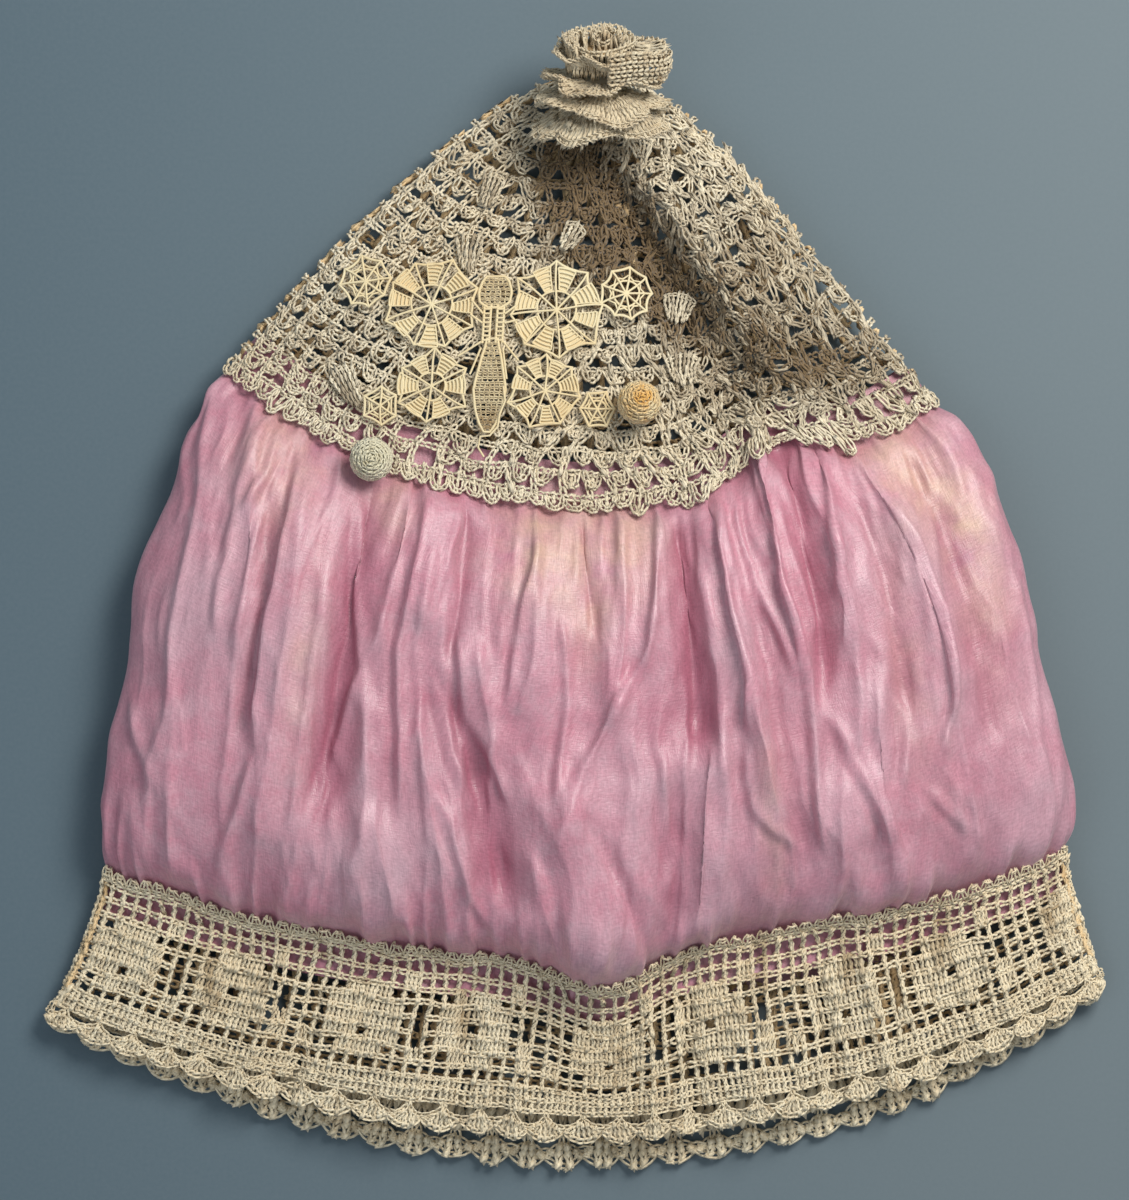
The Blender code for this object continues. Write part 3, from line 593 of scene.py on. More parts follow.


# Brown thread, and painted shade in the crown's dent and in the valley at its lower right.
CROWN_BROWN_AND_SHADE = (
    TonePatch(-0.008, 0.124, 0.010, 0.012, 0.95),
    TonePatch(-0.003, 0.107, 0.015, 0.015, 1.15),
    TonePatch(0.011, 0.093, 0.013, 0.012, 1.00),
    TonePatch(0.023, 0.080, 0.011, 0.010, 0.72),
    TonePatch(0.057, 0.066, 0.028, 0.012, 0.75),
    TonePatch(0.046, 0.092, 0.026, 0.020, 0.38),
    TonePatch(0.030, 0.055, 0.014, 0.008, 0.20),
    TonePatch(-0.072, 0.073, 0.014, 0.010, 0.18),
    TonePatch(-0.034, 0.120, 0.012, 0.010, 0.14),
)
# Narrow brown slots down the brim's pleats, which are also painted shade in the pleat valleys.
BRIM_BROWN_AND_SHADE = (
    TonePatch(-0.107, -0.104, 0.0022, 0.009, 0.55),
    TonePatch(-0.038, -0.113, 0.0022, 0.009, 0.50),
    TonePatch(0.005, -0.127, 0.0030, 0.010, 0.40),
    TonePatch(0.044, -0.100, 0.0022, 0.010, 0.60),
    TonePatch(0.068, -0.098, 0.0020, 0.009, 0.50),
    TonePatch(0.094, -0.090, 0.0026, 0.010, 0.65),
    TonePatch(0.124, -0.086, 0.0026, 0.010, 0.60),
)


@dataclass
class Chart:
    """Where every stitch of one piece lies."""
    seed: int = 1
    rows: list[tuple[Array, ...]] = field(default_factory=list)

    def add(self, stitch: Stitch, starts: Array, ends: Array, normals: Array, width: float,
            thick: float = 0.85, lap: float = 1.0, shade: float = 0.0) -> None:
        """Add one stitch between each pair of points.

        Args:
            stitch: Which stitch.
            starts: First ends.
            ends: Second ends.
            normals: Outward normals.
            width: Width of a stitch.
            thick: Thickness as a share of the width.
            lap: Length as a share of the distance between the ends.
            shade: How much darker than the rest these are.
        """
        starts, ends, normals = (np.atleast_2d(values) for values in (starts, ends, normals))
        along = ends - starts
        length = np.linalg.norm(along, axis=1)
        size = np.stack([length * lap, np.full(len(along), width), np.full(len(along), width * thick)], 1)
        self.rows.append((np.full(len(along), int(stitch)), 0.5 * (starts + ends), along, normals, size,
                          np.full(len(along), shade)))

    def chain(self, path: Array, normals: Array, pitch: float, width: float, thick: float = 0.8,
              shade: float = 0.0, stitch: Stitch = Stitch.LINK) -> None:
        """Add links of a pitch along a path."""
        run = run_along(path)
        places = np.linspace(0.0, run[-1], max(1, round(run[-1] / pitch)) + 1)
        points, facing = (np.stack([np.interp(places, run, column) for column in values.T], 1)
                          for values in (path, normals))
        self.add(stitch, points[:-1], points[1:], facing[:-1], width, thick, 1.0, shade)

    def add_paths(self, points: Array, normals: Array, width: float, thick: float, lap: float) -> None:
        """Add a link between each two following points of every path in an array of them."""
        self.add(Stitch.LINK, points[:, :-1].reshape(-1, 3), points[:, 1:].reshape(-1, 3),
                 normals[:, 1:].reshape(-1, 3), width, thick, lap)

    def make(self, name: str, tree: LayingTree, finish: bpy.types.Material, fullness: float = 1.0,
             unevenness: float = 0.12, tone_patches: Sequence[TonePatch] = ()) -> bpy.types.Object:
        """Lay the chart's stitches as one piece.

        Args:
            name: The piece's name.
            tree: The tree that lays stitches.
            finish: The piece's material.
            fullness: How much thicker than charted the thread is.
            unevenness: How much the stitches differ in size and turn.
            tone_patches: Patches mixed towards the dark colour: brown thread with painted shade in fold
                valleys, and a button's golden top.

        Returns:
            The piece.
        """
        stitch, middle, along, normal, size, shade = (np.concatenate(part) for part in zip(*self.rows))
        draw = np.random.default_rng(self.seed)
        count = len(middle)
        # The patches darken stitches towards the dark colour: brown thread, and painted shade in fold
        # valleys.
        shade = shade + sum(tone_patch.strength * bell(middle[:, 0], tone_patch.x, tone_patch.spread_x)
                            * bell(middle[:, 1], tone_patch.y, tone_patch.spread_y) for tone_patch in tone_patches)
        size = size * (1.0 + unevenness * draw.uniform(-1.0, 1.0, (count, 3)))
        lean = unevenness * np.clip(draw.normal(0.0, 1.0, (count, 3)), -1.6, 1.6)
        middle = middle + 0.12 * unevenness * size[:, 1:2] * draw.normal(0.0, 1.0, (count, 3))
        above = (0.60 * fullness * size[:, 1] + 0.5 * np.abs(along[:, 2])
                 + 1.4 * unevenness * size[:, 0])
        middle[:, 2] = np.maximum(middle[:, 2], above)
        piece = new_piece(name, middle)
        give_attribute(piece.data, "stitch", "INT", stitch)
        give_attribute(piece.data, "along", "FLOAT_VECTOR", unit(along))
        give_attribute(piece.data, "normal", "FLOAT_VECTOR", unit(unit(normal) + 1.6 * lean))
        give_attribute(piece.data, "size", "FLOAT_VECTOR", size)
        give_attribute(piece.data, "shade", "FLOAT",
                       np.clip(0.22 + 0.16 * draw.normal(0.0, 1.0, count) + shade, 0.0, 1.0))
        tree.apply(piece, finish, {"Stitch patterns": tree.patterns, "Fullness": fullness})
        return piece


class Cloth(NamedTuple):
    """Points of one closed band of cloth, row by row round the loop."""
    points: Array
    side: Array
    reach: Array
    front: Array


class Crease(NamedTuple):
    """A thin pressed line down the silk, through sides at five even stations, and its height."""
    start: float
    end: float
    sides: tuple[float, ...]
    rise: float = 0.0018


CREASES = (
    Crease(0.411, 0.625, (-0.825, -0.787, -0.823, -0.817, -0.792)),
    Crease(0.428, 0.696, (-0.743, -0.704, -0.699, -0.694, -0.695), 0.0023),
    Crease(0.696, 0.793, (-0.695, -0.706, -0.718, -0.730, -0.748)),
    Crease(0.442, 0.749, (-0.580, -0.540, -0.493, -0.533, -0.589)),
    Crease(0.412, 0.721, (-0.409, -0.402, -0.428, -0.402, -0.402), 0.0023),
    Crease(0.426, 0.611, (-0.144, -0.144, -0.170, -0.185, -0.188)),
    Crease(0.538, 0.695, (-0.307, -0.287, -0.268, -0.212, -0.184)),
    Crease(0.584, 0.681, (-0.356, -0.330, -0.310, -0.294, -0.276)),
    Crease(0.684, 0.816, (-0.327, -0.298, -0.273, -0.245, -0.199)),
    Crease(0.698, 0.753, (-0.972, -0.955, -0.939, -0.910, -0.871)),
    Crease(0.511, 0.688, (-0.091, -0.072, -0.067, -0.079, -0.091)),
    Crease(0.404, 0.644, (0.334, 0.309, 0.314, 0.335, 0.316), 0.0024),
    Crease(0.644, 0.759, (0.316, 0.309, 0.317, 0.358, 0.424)),
    Crease(0.425, 0.777, (0.475, 0.445, 0.466, 0.460, 0.453), 0.0027),
    Crease(0.450, 0.571, (0.486, 0.484, 0.489, 0.497, 0.499)),
    Crease(0.510, 0.602, (0.389, 0.402, 0.416, 0.430, 0.444)),
    Crease(0.407, 0.552, (0.682, 0.637, 0.612, 0.591, 0.554), 0.0023),
    Crease(0.464, 0.733, (0.748, 0.784, 0.791, 0.784, 0.688), 0.0024),
    Crease(0.644, 0.725, (0.662, 0.668, 0.663, 0.650, 0.638)),
    Crease(0.636, 0.797, (0.508, 0.536, 0.569, 0.596, 0.567), 0.0021),
    Crease(0.402, 0.684, (0.160, 0.143, 0.114, 0.011, -0.080)),
    Crease(0.633, 0.774, (0.140, 0.137, 0.140, 0.152, 0.129)),
    Crease(0.733, 0.798, (0.688, 0.709, 0.730, 0.759, 0.805)),
)


@dataclass(frozen=True)
class SilkForm(CapForm):
    """The cap's surface with the silk's crisp folds, gathers and creases."""
    folds: tuple[Fold, ...] = CROWN_FOLDS + SILK_FOLDS + BRIM_FOLDS + SMALL_SILK_FOLDS
    pleat_height: float = 0.0026
    gather_height: float = 0.0022
    crumple_height: float = 0.0006
    crease_spread: float = 0.0105
    slump: float = 0.0024
    pleats: float = 9.5
    fine_pleats: float = 21.0
    gathers: float = 30.0
    sway: float = 0.034
    fine_sway: float = 0.008
    crown_reach: float = 0.065
    brim_reach: float = 0.055

    def fold_profile(self, across: Array) -> Array:
        """A fold that lies over to its left, with a crease along its crest."""
        steep = np.where(across < 0.0, 1.85, 1.15) * np.abs(across)
        return 0.35 * np.exp(-across ** 2) + 0.65 * np.exp(0.12 - np.sqrt(steep ** 2 + 0.0144))

    def relief(self, reach: Array, side: Array) -> Array:
        """The large folds on silk that slumps towards the brim."""
        low = bell(reach, 0.795, 0.038) * (1.0 - 0.9 * bell(side, 0.0, 0.13))
        return super().relief(reach, side) - self.slump * low * (1.0 - np.abs(side) ** 8)

    def pressed(self, reach: Array, side: Array) -> Array:
        """Height of the thin creases, each with a groove along its left."""
        height = np.zeros(np.broadcast(reach, side).shape)
        for crease in CREASES:
            share = (reach - crease.start) / (crease.end - crease.start)
            across = (side - np.interp(share, np.linspace(0.0, 1.0, 5), crease.sides)) / self.crease_spread
            fade = smooth(0.0, 0.15, share) * smooth(0.0, 0.15, 1.0 - share)
            height += crease.rise * fade * (np.exp(-np.abs(across) ** 1.2)
                                            - 0.45 * np.exp(-((across + 1.8) / 0.9) ** 2))
        return height

    def wrinkles(self, reach: Array, side: Array) -> Array:
        """Height of the pleats, the gathers at both seams, the creases and the crumples, along the normal."""
        sway = (self.sway * WANDER.at(side * 5.0 + 9.0, reach * 9.0)
                + self.fine_sway * WANDER.at(side * 16.0, reach * 30.0))
        fan = (side + sway) * (0.90 + 0.10 * smooth(0.40, 0.60, reach))
        body = smooth(0.405, 0.46, reach) * smooth(0.845, 0.80, reach)
        pleats = (0.70 * PLEATS.ridges(fan * self.pleats, reach * 3.0 + 3.0) ** 1.4
                  + 0.45 * PLEATS.ridges(fan * self.fine_pleats + 50.0, reach * 4.5 + 3.0) ** 1.3)
        tops = GATHERS.ridges((side + 0.4 * sway) * self.gathers, reach * 13.0)
        near_crown = (np.exp(-np.maximum(0.0, reach - 0.425) / self.crown_reach)
                      * smooth(0.397, 0.422, reach))
        near_brim = (np.exp(-np.maximum(0.0, 0.825 - reach) / self.brim_reach)
                     * smooth(0.860, 0.822, reach))
        crumples = (CRUMPLES.ridges(side * 13.0 + reach * 13.0, reach * 16.0 - side * 5.0) ** 1.5
                    + CRUMPLES.ridges(side * 15.0 - reach * 17.0 + 40.0, reach * 13.0 + side * 7.0) ** 1.5
                    + 0.5 * CRUMPLES.ridges(side * 33.0 + 9.0, reach * 26.0 + side * 9.0))
        height = self.pleat_height * (pleats - 0.50) * body + self.pressed(reach, side) * body
        height = height + self.gather_height * (tops - 0.40) * (near_crown + near_brim)
        return height + self.crumple_height * (crumples - 0.8) * body


WANDER = Unevenness(11)
PLEATS = Unevenness(12)
GATHERS = Unevenness(13)
CRUMPLES = Unevenness(14)


class Stain(NamedTuple):
    """A faded peach patch on the silk."""
    side: float
    reach: float
    across: float
    along: float
    strength: float


STAINS = (
    Stain(-0.14, 0.455, 0.10, 0.050, 0.95),
    Stain(0.05, 0.450, 0.10, 0.045, 0.80),
    Stain(-0.02, 0.520, 0.05, 0.040, 0.45),
    Stain(-0.76, 0.450, 0.10, 0.060, 0.65),
    Stain(-0.50, 0.440, 0.06, 0.035, 0.50),
    Stain(0.90, 0.520, 0.06, 0.110, 0.90),
    Stain(0.80, 0.450, 0.08, 0.060, 0.70),
    Stain(0.70, 0.640, 0.05, 0.090, 0.35),
    Stain(0.36, 0.720, 0.03, 0.070, 0.40),
    Stain(-0.62, 0.600, 0.03, 0.090, 0.35),
)


@dataclass
class SilkPuff:
    """The gathered silk between the crown and the brim, one closed band."""
    form: SilkForm
    front_columns: int = 420
    back_columns: int = 60
    rows: int = 108
    lap: float = 0.030
    under_crown: float = 0.0030
    under_brim: float = 0.0022
    uneven_sides: float = 0.0016
    valley_shade_depth: float = 0.0095
    flat: tuple[float, float] = (0.66, 0.150)

    def cloth(self) -> Cloth:
        """Lay the band out, row by row."""
        reach = np.linspace(CROWN_EDGE - self.lap, BRIM_TOP + self.lap, self.rows)
        rows = []
        for share in reach:
            front = self.form.sides(share, np.linspace(0.0, 1.0, self.front_columns + 1), True, SEAM_LIMIT)
            back = self.form.sides(share, np.linspace(1.0, 0.0, self.back_columns + 1), False, SEAM_LIMIT)
            rows.append((self.layer(share, front, True), self.layer(share, back[1:-1], False)))
        points = np.stack([np.concatenate([front[0], back[0]]) for front, back in rows])
        side = np.stack([np.concatenate([front[1], back[1]]) for front, back in rows])
        on_front = np.arange(points.shape[1]) <= self.front_columns
        for _ in range(2):
            points[1:-1] = 0.25 * points[:-2] + 0.5 * points[1:-1] + 0.25 * points[2:]
        return Cloth(points, side, reach, on_front)

    def layer(self, reach: float, side: Array, front: bool) -> tuple[Array, Array]:
        """One row of the front or the back layer, drawn in where lace covers it."""
        points, normals = self.form.frame(np.full(side.shape, reach), side, front)
        covered = 1.0 - smooth(CROWN_EDGE + 0.008, CROWN_EDGE + 0.035, reach)
        tucked = smooth(BRIM_TOP - 0.016, BRIM_TOP - 0.002, reach)
        depth = self.under_crown * covered + self.under_brim * tucked + 0.0002
        if front:
            depth = depth - self.form.wrinkles(np.full(side.shape, reach), side)
            uneven = PLEATS.at(np.full(side.shape, reach * 15.0), 5.0 * np.sign(side))
            points[:, 0] += self.uneven_sides * side ** 7 * uneven
        points = points - normals * depth[:, None] if front else points - normals * depth
        if not front:
            wrinkle = CRUMPLES.ridges(side * 16.0 + 5.0, np.full(side.shape, reach * 20.0))
            points[:, 2] = np.maximum(points[:, 2], 0.0002) + 0.0009 * wrinkle
        return points, side

    def build(self, finish: bpy.types.Material) -> bpy.types.Object:
        """Make the silk as one sheet with its cloth coordinates, stains and hollows; the hollows mark fold
        valleys for painted shade.
        """
        cloth = self.cloth()
        rows, columns = cloth.side.shape
        index = np.arange(rows * columns).reshape(rows, columns)
        following = np.roll(index, -1, axis=1)
        faces = np.stack([index[:-1], index[1:], following[1:], following[:-1]], -1).reshape(-1, 4)
        piece = new_piece("silk_sheet", cloth.points.reshape(-1, 3), (), faces.tolist())
        data = piece.data
        reach = np.repeat(cloth.reach, columns)
        side = cloth.side.ravel()
        front = np.tile(cloth.front, rows)
        stain = sum(stain.strength * bell(side, stain.side, stain.across)
                    * bell(reach, stain.reach, stain.along) for stain in STAINS) * front
        smooth_form = SilkForm(folds=CROWN_FOLDS)
        level = smooth_form.point(reach, side, True)[:, 2]
        lifted = cloth.points.reshape(-1, 3)[:, 2] - level
        # Cloth below its smooth level is marked hollow: painted shade in the fold valleys.
        hollow = np.where(front, np.clip(0.45 - lifted / self.valley_shade_depth, 0, 1), 0.5)
        give_attribute(data, "stain", "FLOAT", np.clip(stain, 0.0, 1.0))
        give_attribute(data, "hollow", "FLOAT", hollow)
        uv = data.uv_layers.new(name="cloth")
        along = np.tile(np.arange(columns) / columns, rows) * self.flat[0]
        down = (reach - cloth.reach[0]) / (cloth.reach[-1] - cloth.reach[0]) * self.flat[1]
        corners = faces.ravel()
        wrapped = np.where((corners % columns == 0) & (np.repeat(faces[:, 0], 4) % columns == columns - 1),
                           self.flat[0], along[corners])
        uv.data.foreach_set("uv", np.stack([wrapped, down[corners]], 1).ravel())
        data.materials.append(finish)
        data.shade_smooth()
        return piece


@dataclass
class CrownLace:
    """The crochet crown: chain rows, posts between them and a festoon in every cell."""
    form: CapForm
    tree: LayingTree
    tip: float = 0.030
    row_pitch: float = 0.0056
    cell_width: float = 0.0070
    level_rows: float = 0.13
    link_pitch: float = 0.0017
    thread: float = 0.0020
    sink: float = 0.0010
    back_sink: float = 0.0019
    edge_loop: float = 0.0046
    loop_lift: float = 0.0004
    row_step: float = 0.0012
    row_limit: float = 0.997
    post_limit: float = 0.99
    side_limit: float = 0.999
    row_drift: float = 0.0080
    column_drift: float = 0.024
    lump_height: float = 0.0008

    def seat(self, reach: Array, side: Array, front: bool = True) -> tuple[Array, Array]:
        """Places in the lace, with its rows and columns drawn uneven as they are on the cap."""
        reach, side = np.broadcast_arrays(np.asarray(reach, float), np.asarray(side, float))
        fade = smooth(1.0, 0.9, np.abs(side)) * smooth(0.0, 0.06, reach)
        rough = 0.55 + 0.65 * smooth(0.15, 0.55, side)
        down = np.clip(reach / CROWN_EDGE, 0.0, 1.0)
        level = self.level_rows * smooth(0.15, 1.0, -side) * down * (1.0 - down)
        moved = reach + level + self.row_drift * rough * WANDER.at(side * 17.0, reach * 45.0) * fade
        drawn = side + self.column_drift * rough * WANDER.at(side * 19.0 + 30.0, reach * 50.0 + 11.0) * fade
        points, normals = self.form.frame(moved, np.clip(drawn, -self.side_limit, self.side_limit), front)
        if not front:
            return points - normals * self.back_sink, normals
        lumps = self.lump_height * rough * PLEATS.at(side * 26.0, reach * 70.0)
        return points - normals * (self.sink + lumps)[..., None], normals

    def spot(self, reach: float, shares: Array, front: bool = True,
             limit: float | None = None) -> tuple[Array, Array]:
        """Places in the lace at even shares of a row, up to a limit short of the side edges."""
        side = self.form.sides(reach, np.clip(shares, 0.0, 1.0), front, limit or self.post_limit)
        return self.seat(reach, side, front)

    def add_row(self, chart: Chart, reach: float, front: bool, pitch: float, width: float) -> None:
        """Add a chain all along a row."""
        shares = np.linspace(0.0, 1.0, max(12, int(self.form.width(reach, front) / self.row_step)))
        path, normals = self.spot(reach, shares, front, self.row_limit)
        chart.chain(path, normals, pitch, width)

    def add_loops(self, chart: Chart, reach: float, shares: Array, half: Array, depth: Array,
                  steps: int, width: float) -> None:
        """Add a hanging loop of links below each share of a row."""
        turns = np.linspace(0.0, math.pi, steps + 1)
        across = shares[:, None] + half[:, None] * np.cos(turns)
        low = reach + depth[:, None] * np.sin(turns)
        side = self.form.sides(reach, np.clip(across, 0.0, 1.0), True, self.row_limit)
        points, normals = self.seat(low, side)
        chart.add_paths(points + normals * self.loop_lift, normals, width, 0.9, 1.1)

    def rows(self, front: bool) -> Array:
        """Reach shares of the chain rows."""
        pitch = self.row_pitch * (1.0 if front else 1.15)
        count = round((CROWN_EDGE - self.tip) * self.form.front_reach / pitch)
        return np.linspace(self.tip, CROWN_EDGE, count + 1)

    def charts(self) -> tuple[Chart, Chart]:
        """Chart the front layer: its bars, and the festoons that hang in its cells."""
        bars, festoons = Chart(3), Chart(4)
        draw = np.random.default_rng(5)
        metre = 1.0 / self.form.front_reach
        rows = self.rows(True)
        counts = [max(5, round(self.form.width(0.5 * (top + low), True) / self.cell_width))
                  for top, low in zip(rows, rows[1:])]
        for top, low, cells, following in zip(rows, rows[1:], counts, counts[1:] + counts[-1:]):
            self.add_row(bars, top, True, self.link_pitch, self.thread)
            shares = (np.arange(cells) + 0.5) / cells
            met = (np.round(shares * following - 0.5) + 0.5) / following
            lean = 0.06 * draw.uniform(-1.0, 1.0, (2, cells)) / cells
            upper, facing = self.spot(top, shares + lean[0])
            lower, _ = self.spot(low, met + lean[1])
            for step in range(3):
                start, end = (upper + share / 3 * (lower - upper) for share in (step, step + 1))
                bars.add(Stitch.LINK, start, end, facing, 0.95 * self.thread, 0.85, 1.1)
            dense = shares + 0.10 * draw.uniform(-1.0, 1.0, cells) > 0.44
            beside = (shares + np.where(draw.random(cells) < 0.5, 0.30, -0.30) / cells)[dense]
            split, _ = self.spot(top, beside)
            bars.add(Stitch.POST, split, lower[dense], facing[dense], 0.9 * self.thread, 0.85, 1.05)
            middles = shares + 0.5 / cells + 0.05 * draw.uniform(-1, 1, cells) / cells
            middles = middles[(draw.random(cells) > 0.05) & (middles < 0.995)]
            half = 0.29 / cells * draw.uniform(0.80, 1.15, len(middles))
            depth = 0.0034 * metre * draw.uniform(0.8, 1.15, len(middles))
            self.add_loops(festoons, top, middles, half, depth, 5, 0.88 * self.thread)
            tail = self.form.sides(top, middles, True, self.post_limit)
            start, facing = self.seat(np.full(tail.shape, top), tail)
            end, _ = self.seat(top + 0.85 * depth, tail)
            festoons.add(Stitch.POST, start, end, facing, 0.8 * self.thread, 0.9, 1.0)
        self.add_row(bars, rows[-1], True, self.link_pitch, self.thread)
        self.add_edge(bars, metre)
        return bars, festoons

    def add_edge(self, chart: Chart, metre: float) -> None:
        """Add the picots that hang over the silk, with a doubled chain above them."""
        count = round(self.form.width(CROWN_EDGE, True) / self.edge_loop)
        draw = np.random.default_rng(6)
        shares = (np.arange(count) + 0.5) / count
        depth = 0.0036 * metre * draw.uniform(0.75, 1.25, count)
        self.add_loops(chart, CROWN_EDGE + 0.0015, shares, np.full(count, 0.46 / count), depth, 6,
                       0.85 * self.thread)
        tips = self.form.sides(CROWN_EDGE, shares, True, self.row_limit)
        start, facing = self.seat(CROWN_EDGE - 0.004, tips)
        end, _ = self.seat(CROWN_EDGE + 0.7 * depth, tips)
        chart.add(Stitch.POST, start, end, facing, 0.8 * self.thread, 0.9)

    def back_chart(self) -> Chart:
        """Chart the back layer, which lies on the ground and shows through the gaps of the front."""
        chart = Chart(7)
        rows = self.rows(False)
        for index, (top, low) in enumerate(zip(rows, rows[1:])):
            self.add_row(chart, top, False, 2.0 * self.link_pitch, 1.25 * self.thread)
            cells = max(4, round(self.form.width(0.5 * (top + low), False) / self.cell_width))
            shares = (np.arange(cells) + 0.5 * (index % 2)) / cells
            upper, facing = self.spot(top, shares, False)
            lower, _ = self.spot(low, shares, False)
            chart.add(Stitch.POST, upper, lower, facing, 1.35 * self.thread, 0.75, 1.1)
        self.add_row(chart, rows[-1], False, 2.0 * self.link_pitch, 1.25 * self.thread)
        return chart

    def build(self, cotton: bpy.types.Material, inside: bpy.types.Material) -> list[bpy.types.Object]:
        """Lay the crown's pieces, the back layer with its browned inner side up."""
        bars, festoons = self.charts()
        return [bars.make("crown_front_bars", self.tree, cotton, 1.05, 0.18, CROWN_BROWN_AND_SHADE),
                festoons.make("crown_front_festoons", self.tree, cotton, 1.05, 0.22, CROWN_BROWN_AND_SHADE),
                self.back_chart().make("crown_back", self.tree, inside, 1.0, 0.12)]


# One repeat of the filet: x is a filled mesh, o an open one whose lower bar is left out, . an open one
FILET = (
    "..................",
    "......x.......x...",
    "..xxx.....xxx.....",
    ".xxxxx.o.xxxxx.o..",
    ".xxxxx.o.xx.xx.o..",
    ".xx.xx.o.xxxxx.x..",
    "..xxx..x..xxx..x.x",
    "..................",
)


@dataclass
class FiletBrim:
    """The filet lace brim: posts and chains round square meshes, some of them filled."""
    form: CapForm
    tree: LayingTree
    columns: int = 76
    thread: float = 0.0020
    sink: float = 0.0008
    back_sink: float = 0.0024
    band_pitch: float = 0.0017
    shells: int = 31
    top_rim: float = 0.004
    picot_pitch: float = 0.0040
    picot_height: float = 0.0017
    side_limit: float = 0.996
    row_drift: float = 0.0027
    column_drift: float = 0.0036
    foot_overlap: float = 0.003
    foot_curve: float = 0.004
    shell_reach: float = 0.0135
    shell_curve: float = 0.0075

    def seat(self, reach: Any, shares: Any, front: bool) -> tuple[Array, Array]:
        """Places in the brim at reach shares and even shares of the way across."""
        reach, shares = np.broadcast_arrays(np.asarray(reach, float), np.asarray(shares, float))
        side = self.form.sides(float(reach.mean()), np.clip(shares, 0.0, 1.0), front, self.side_limit)
        moved = reach + self.row_drift * WANDER.at(shares * 33.0, reach * 50.0)
        drawn = side + self.column_drift * PLEATS.at(shares * 45.0, reach * 50.0) * (1.0 - side ** 8)
        points, normals = self.form.frame(moved, drawn, front)
        return points - normals * (self.sink if front else self.back_sink), normals

    def add_chain(self, chart: Chart, reach: float, front: bool, pitch: float, width: float,
                  keep: Array | None = None) -> None:
        """Add a chain along a row, or along those of its meshes that are kept."""
        steps = 2 * self.columns if front else self.columns
        shares = np.linspace(0.0, 1.0, steps + 1)
        if keep is None:
            fine = np.linspace(0.0, 1.0, max(steps, int(self.form.width(reach, front) / pitch)))
            points, normals = self.seat(reach, fine, front)
            chart.add(Stitch.LINK, points[:-1], points[1:], normals[1:], width, 0.8, 1.08)
            return
        points, normals = self.seat(reach, shares, front)
        kept = np.repeat(keep, steps // len(keep))
        chart.add(Stitch.LINK, points[:-1][kept], points[1:][kept], normals[1:][kept], width, 0.8, 1.08)

    def add_posts(self, chart: Chart, top: float, low: float, shares: Array, front: bool,
                  width: float) -> None:
        """Add a post between two rows at each share."""
        upper, facing = self.seat(top, shares, front)
        lower, _ = self.seat(low, shares, front)
        chart.add(Stitch.POST, upper, lower, facing, width, 0.85, 1.08)

    def filet(self, front: bool) -> Chart:
        """Chart the meshes of one layer."""
        chart = Chart(21 if front else 22)
        columns = self.columns if front else self.columns // 2
        rows = np.linspace(BRIM_TOP, BAND_TOP, len(FILET) + 1)
        pattern = np.array([[FILET[row][column % len(FILET[0])] for column in range(columns)]
                            for row in range(len(FILET))])
        edges = np.linspace(0.0, 1.0, columns + 1)
        middles = 0.5 * (edges[:-1] + edges[1:])
        top_edge = BRIM_TOP - self.top_rim
        self.add_chain(chart, top_edge, front, self.band_pitch * (1.0 if front else 2.0), 0.9 * self.thread)
        for index, (top, low) in enumerate(zip(rows, rows[1:])):
            self.add_posts(chart, top, low, edges, front, self.thread)
            filled = middles[pattern[index] == "x"]
            if front:
                self.add_posts(chart, top, low, filled - 0.17 / columns, front, 0.95 * self.thread)
                self.add_posts(chart, top, low, filled + 0.17 / columns, front, 0.95 * self.thread)
            else:
                self.add_posts(chart, top, low, filled, front, 1.6 * self.thread)
            above = pattern[index - 1] if index else pattern[index]
            self.add_chain(chart, top, front, self.band_pitch, self.thread, above != "o")
        self.add_picots(chart, top_edge, front)
        return chart

    def add_picots(self, chart: Chart, reach: float, front: bool) -> None:
        """Add small loops along a row, pointing towards the peak."""
        count = round(self.form.width(reach, front) / (self.picot_pitch * (1.0 if front else 2.0)))
        shares = (np.arange(count) + 0.5) / count
        turns = np.linspace(0.0, math.pi, 4)
        depth = self.picot_height / self.form.front_reach
        points, normals = self.seat(reach - depth * np.sin(turns)[None, :] + 0.0 * shares[:, None],
                                    shares[:, None] + 0.40 / count * np.cos(turns)[None, :], front)
        chart.add_paths(points, normals, 0.8 * self.thread, 0.9, 1.15)

    def edging(self, front: bool) -> Chart:
        """Chart the solid band, the open arches and the shells of one layer."""
        chart = Chart(23 if front else 24)
        middle = 0.5 * (BAND_TOP + ARCH_TOP)
        count = int(self.form.width(middle, front) / (self.band_pitch * (1.0 if front else 1.7)))
        shares = (np.arange(count) + 0.5) / count
        for top, low in ((BAND_TOP, middle), (middle, ARCH_TOP)) if front else ((BAND_TOP, ARCH_TOP),):
            self.add_posts(chart, top, low, shares, front, 0.95 * self.thread * (1.0 if front else 1.6))
        for reach in (BAND_TOP, middle, ARCH_TOP):
            self.add_chain(chart, reach, front, self.band_pitch * (1.0 if front else 2.0), 0.9 * self.thread)
        shells = self.shells if front else self.shells - 1
        self.add_arches(chart, shells, front)
        self.add_shells(chart, shells, front)
        return chart

    def add_arches(self, chart: Chart, shells: int, front: bool) -> None:
        """Add a chain arch between the band and every shell."""
        steps = 8 if front else 5
        turns = np.linspace(0.0, math.pi, steps + 1)
        centres = np.arange(shells + 1) / shells
        drop = (SHELL_TOP - ARCH_TOP) * np.sin(turns) + 0.001
        points, normals = self.seat(ARCH_TOP + drop[None, :] + 0.0 * centres[:, None],
                                    centres[:, None] + 0.50 / shells * np.cos(turns)[None, :], front)
        chart.add_paths(points, normals, 0.85 * self.thread, 0.85, 1.08)

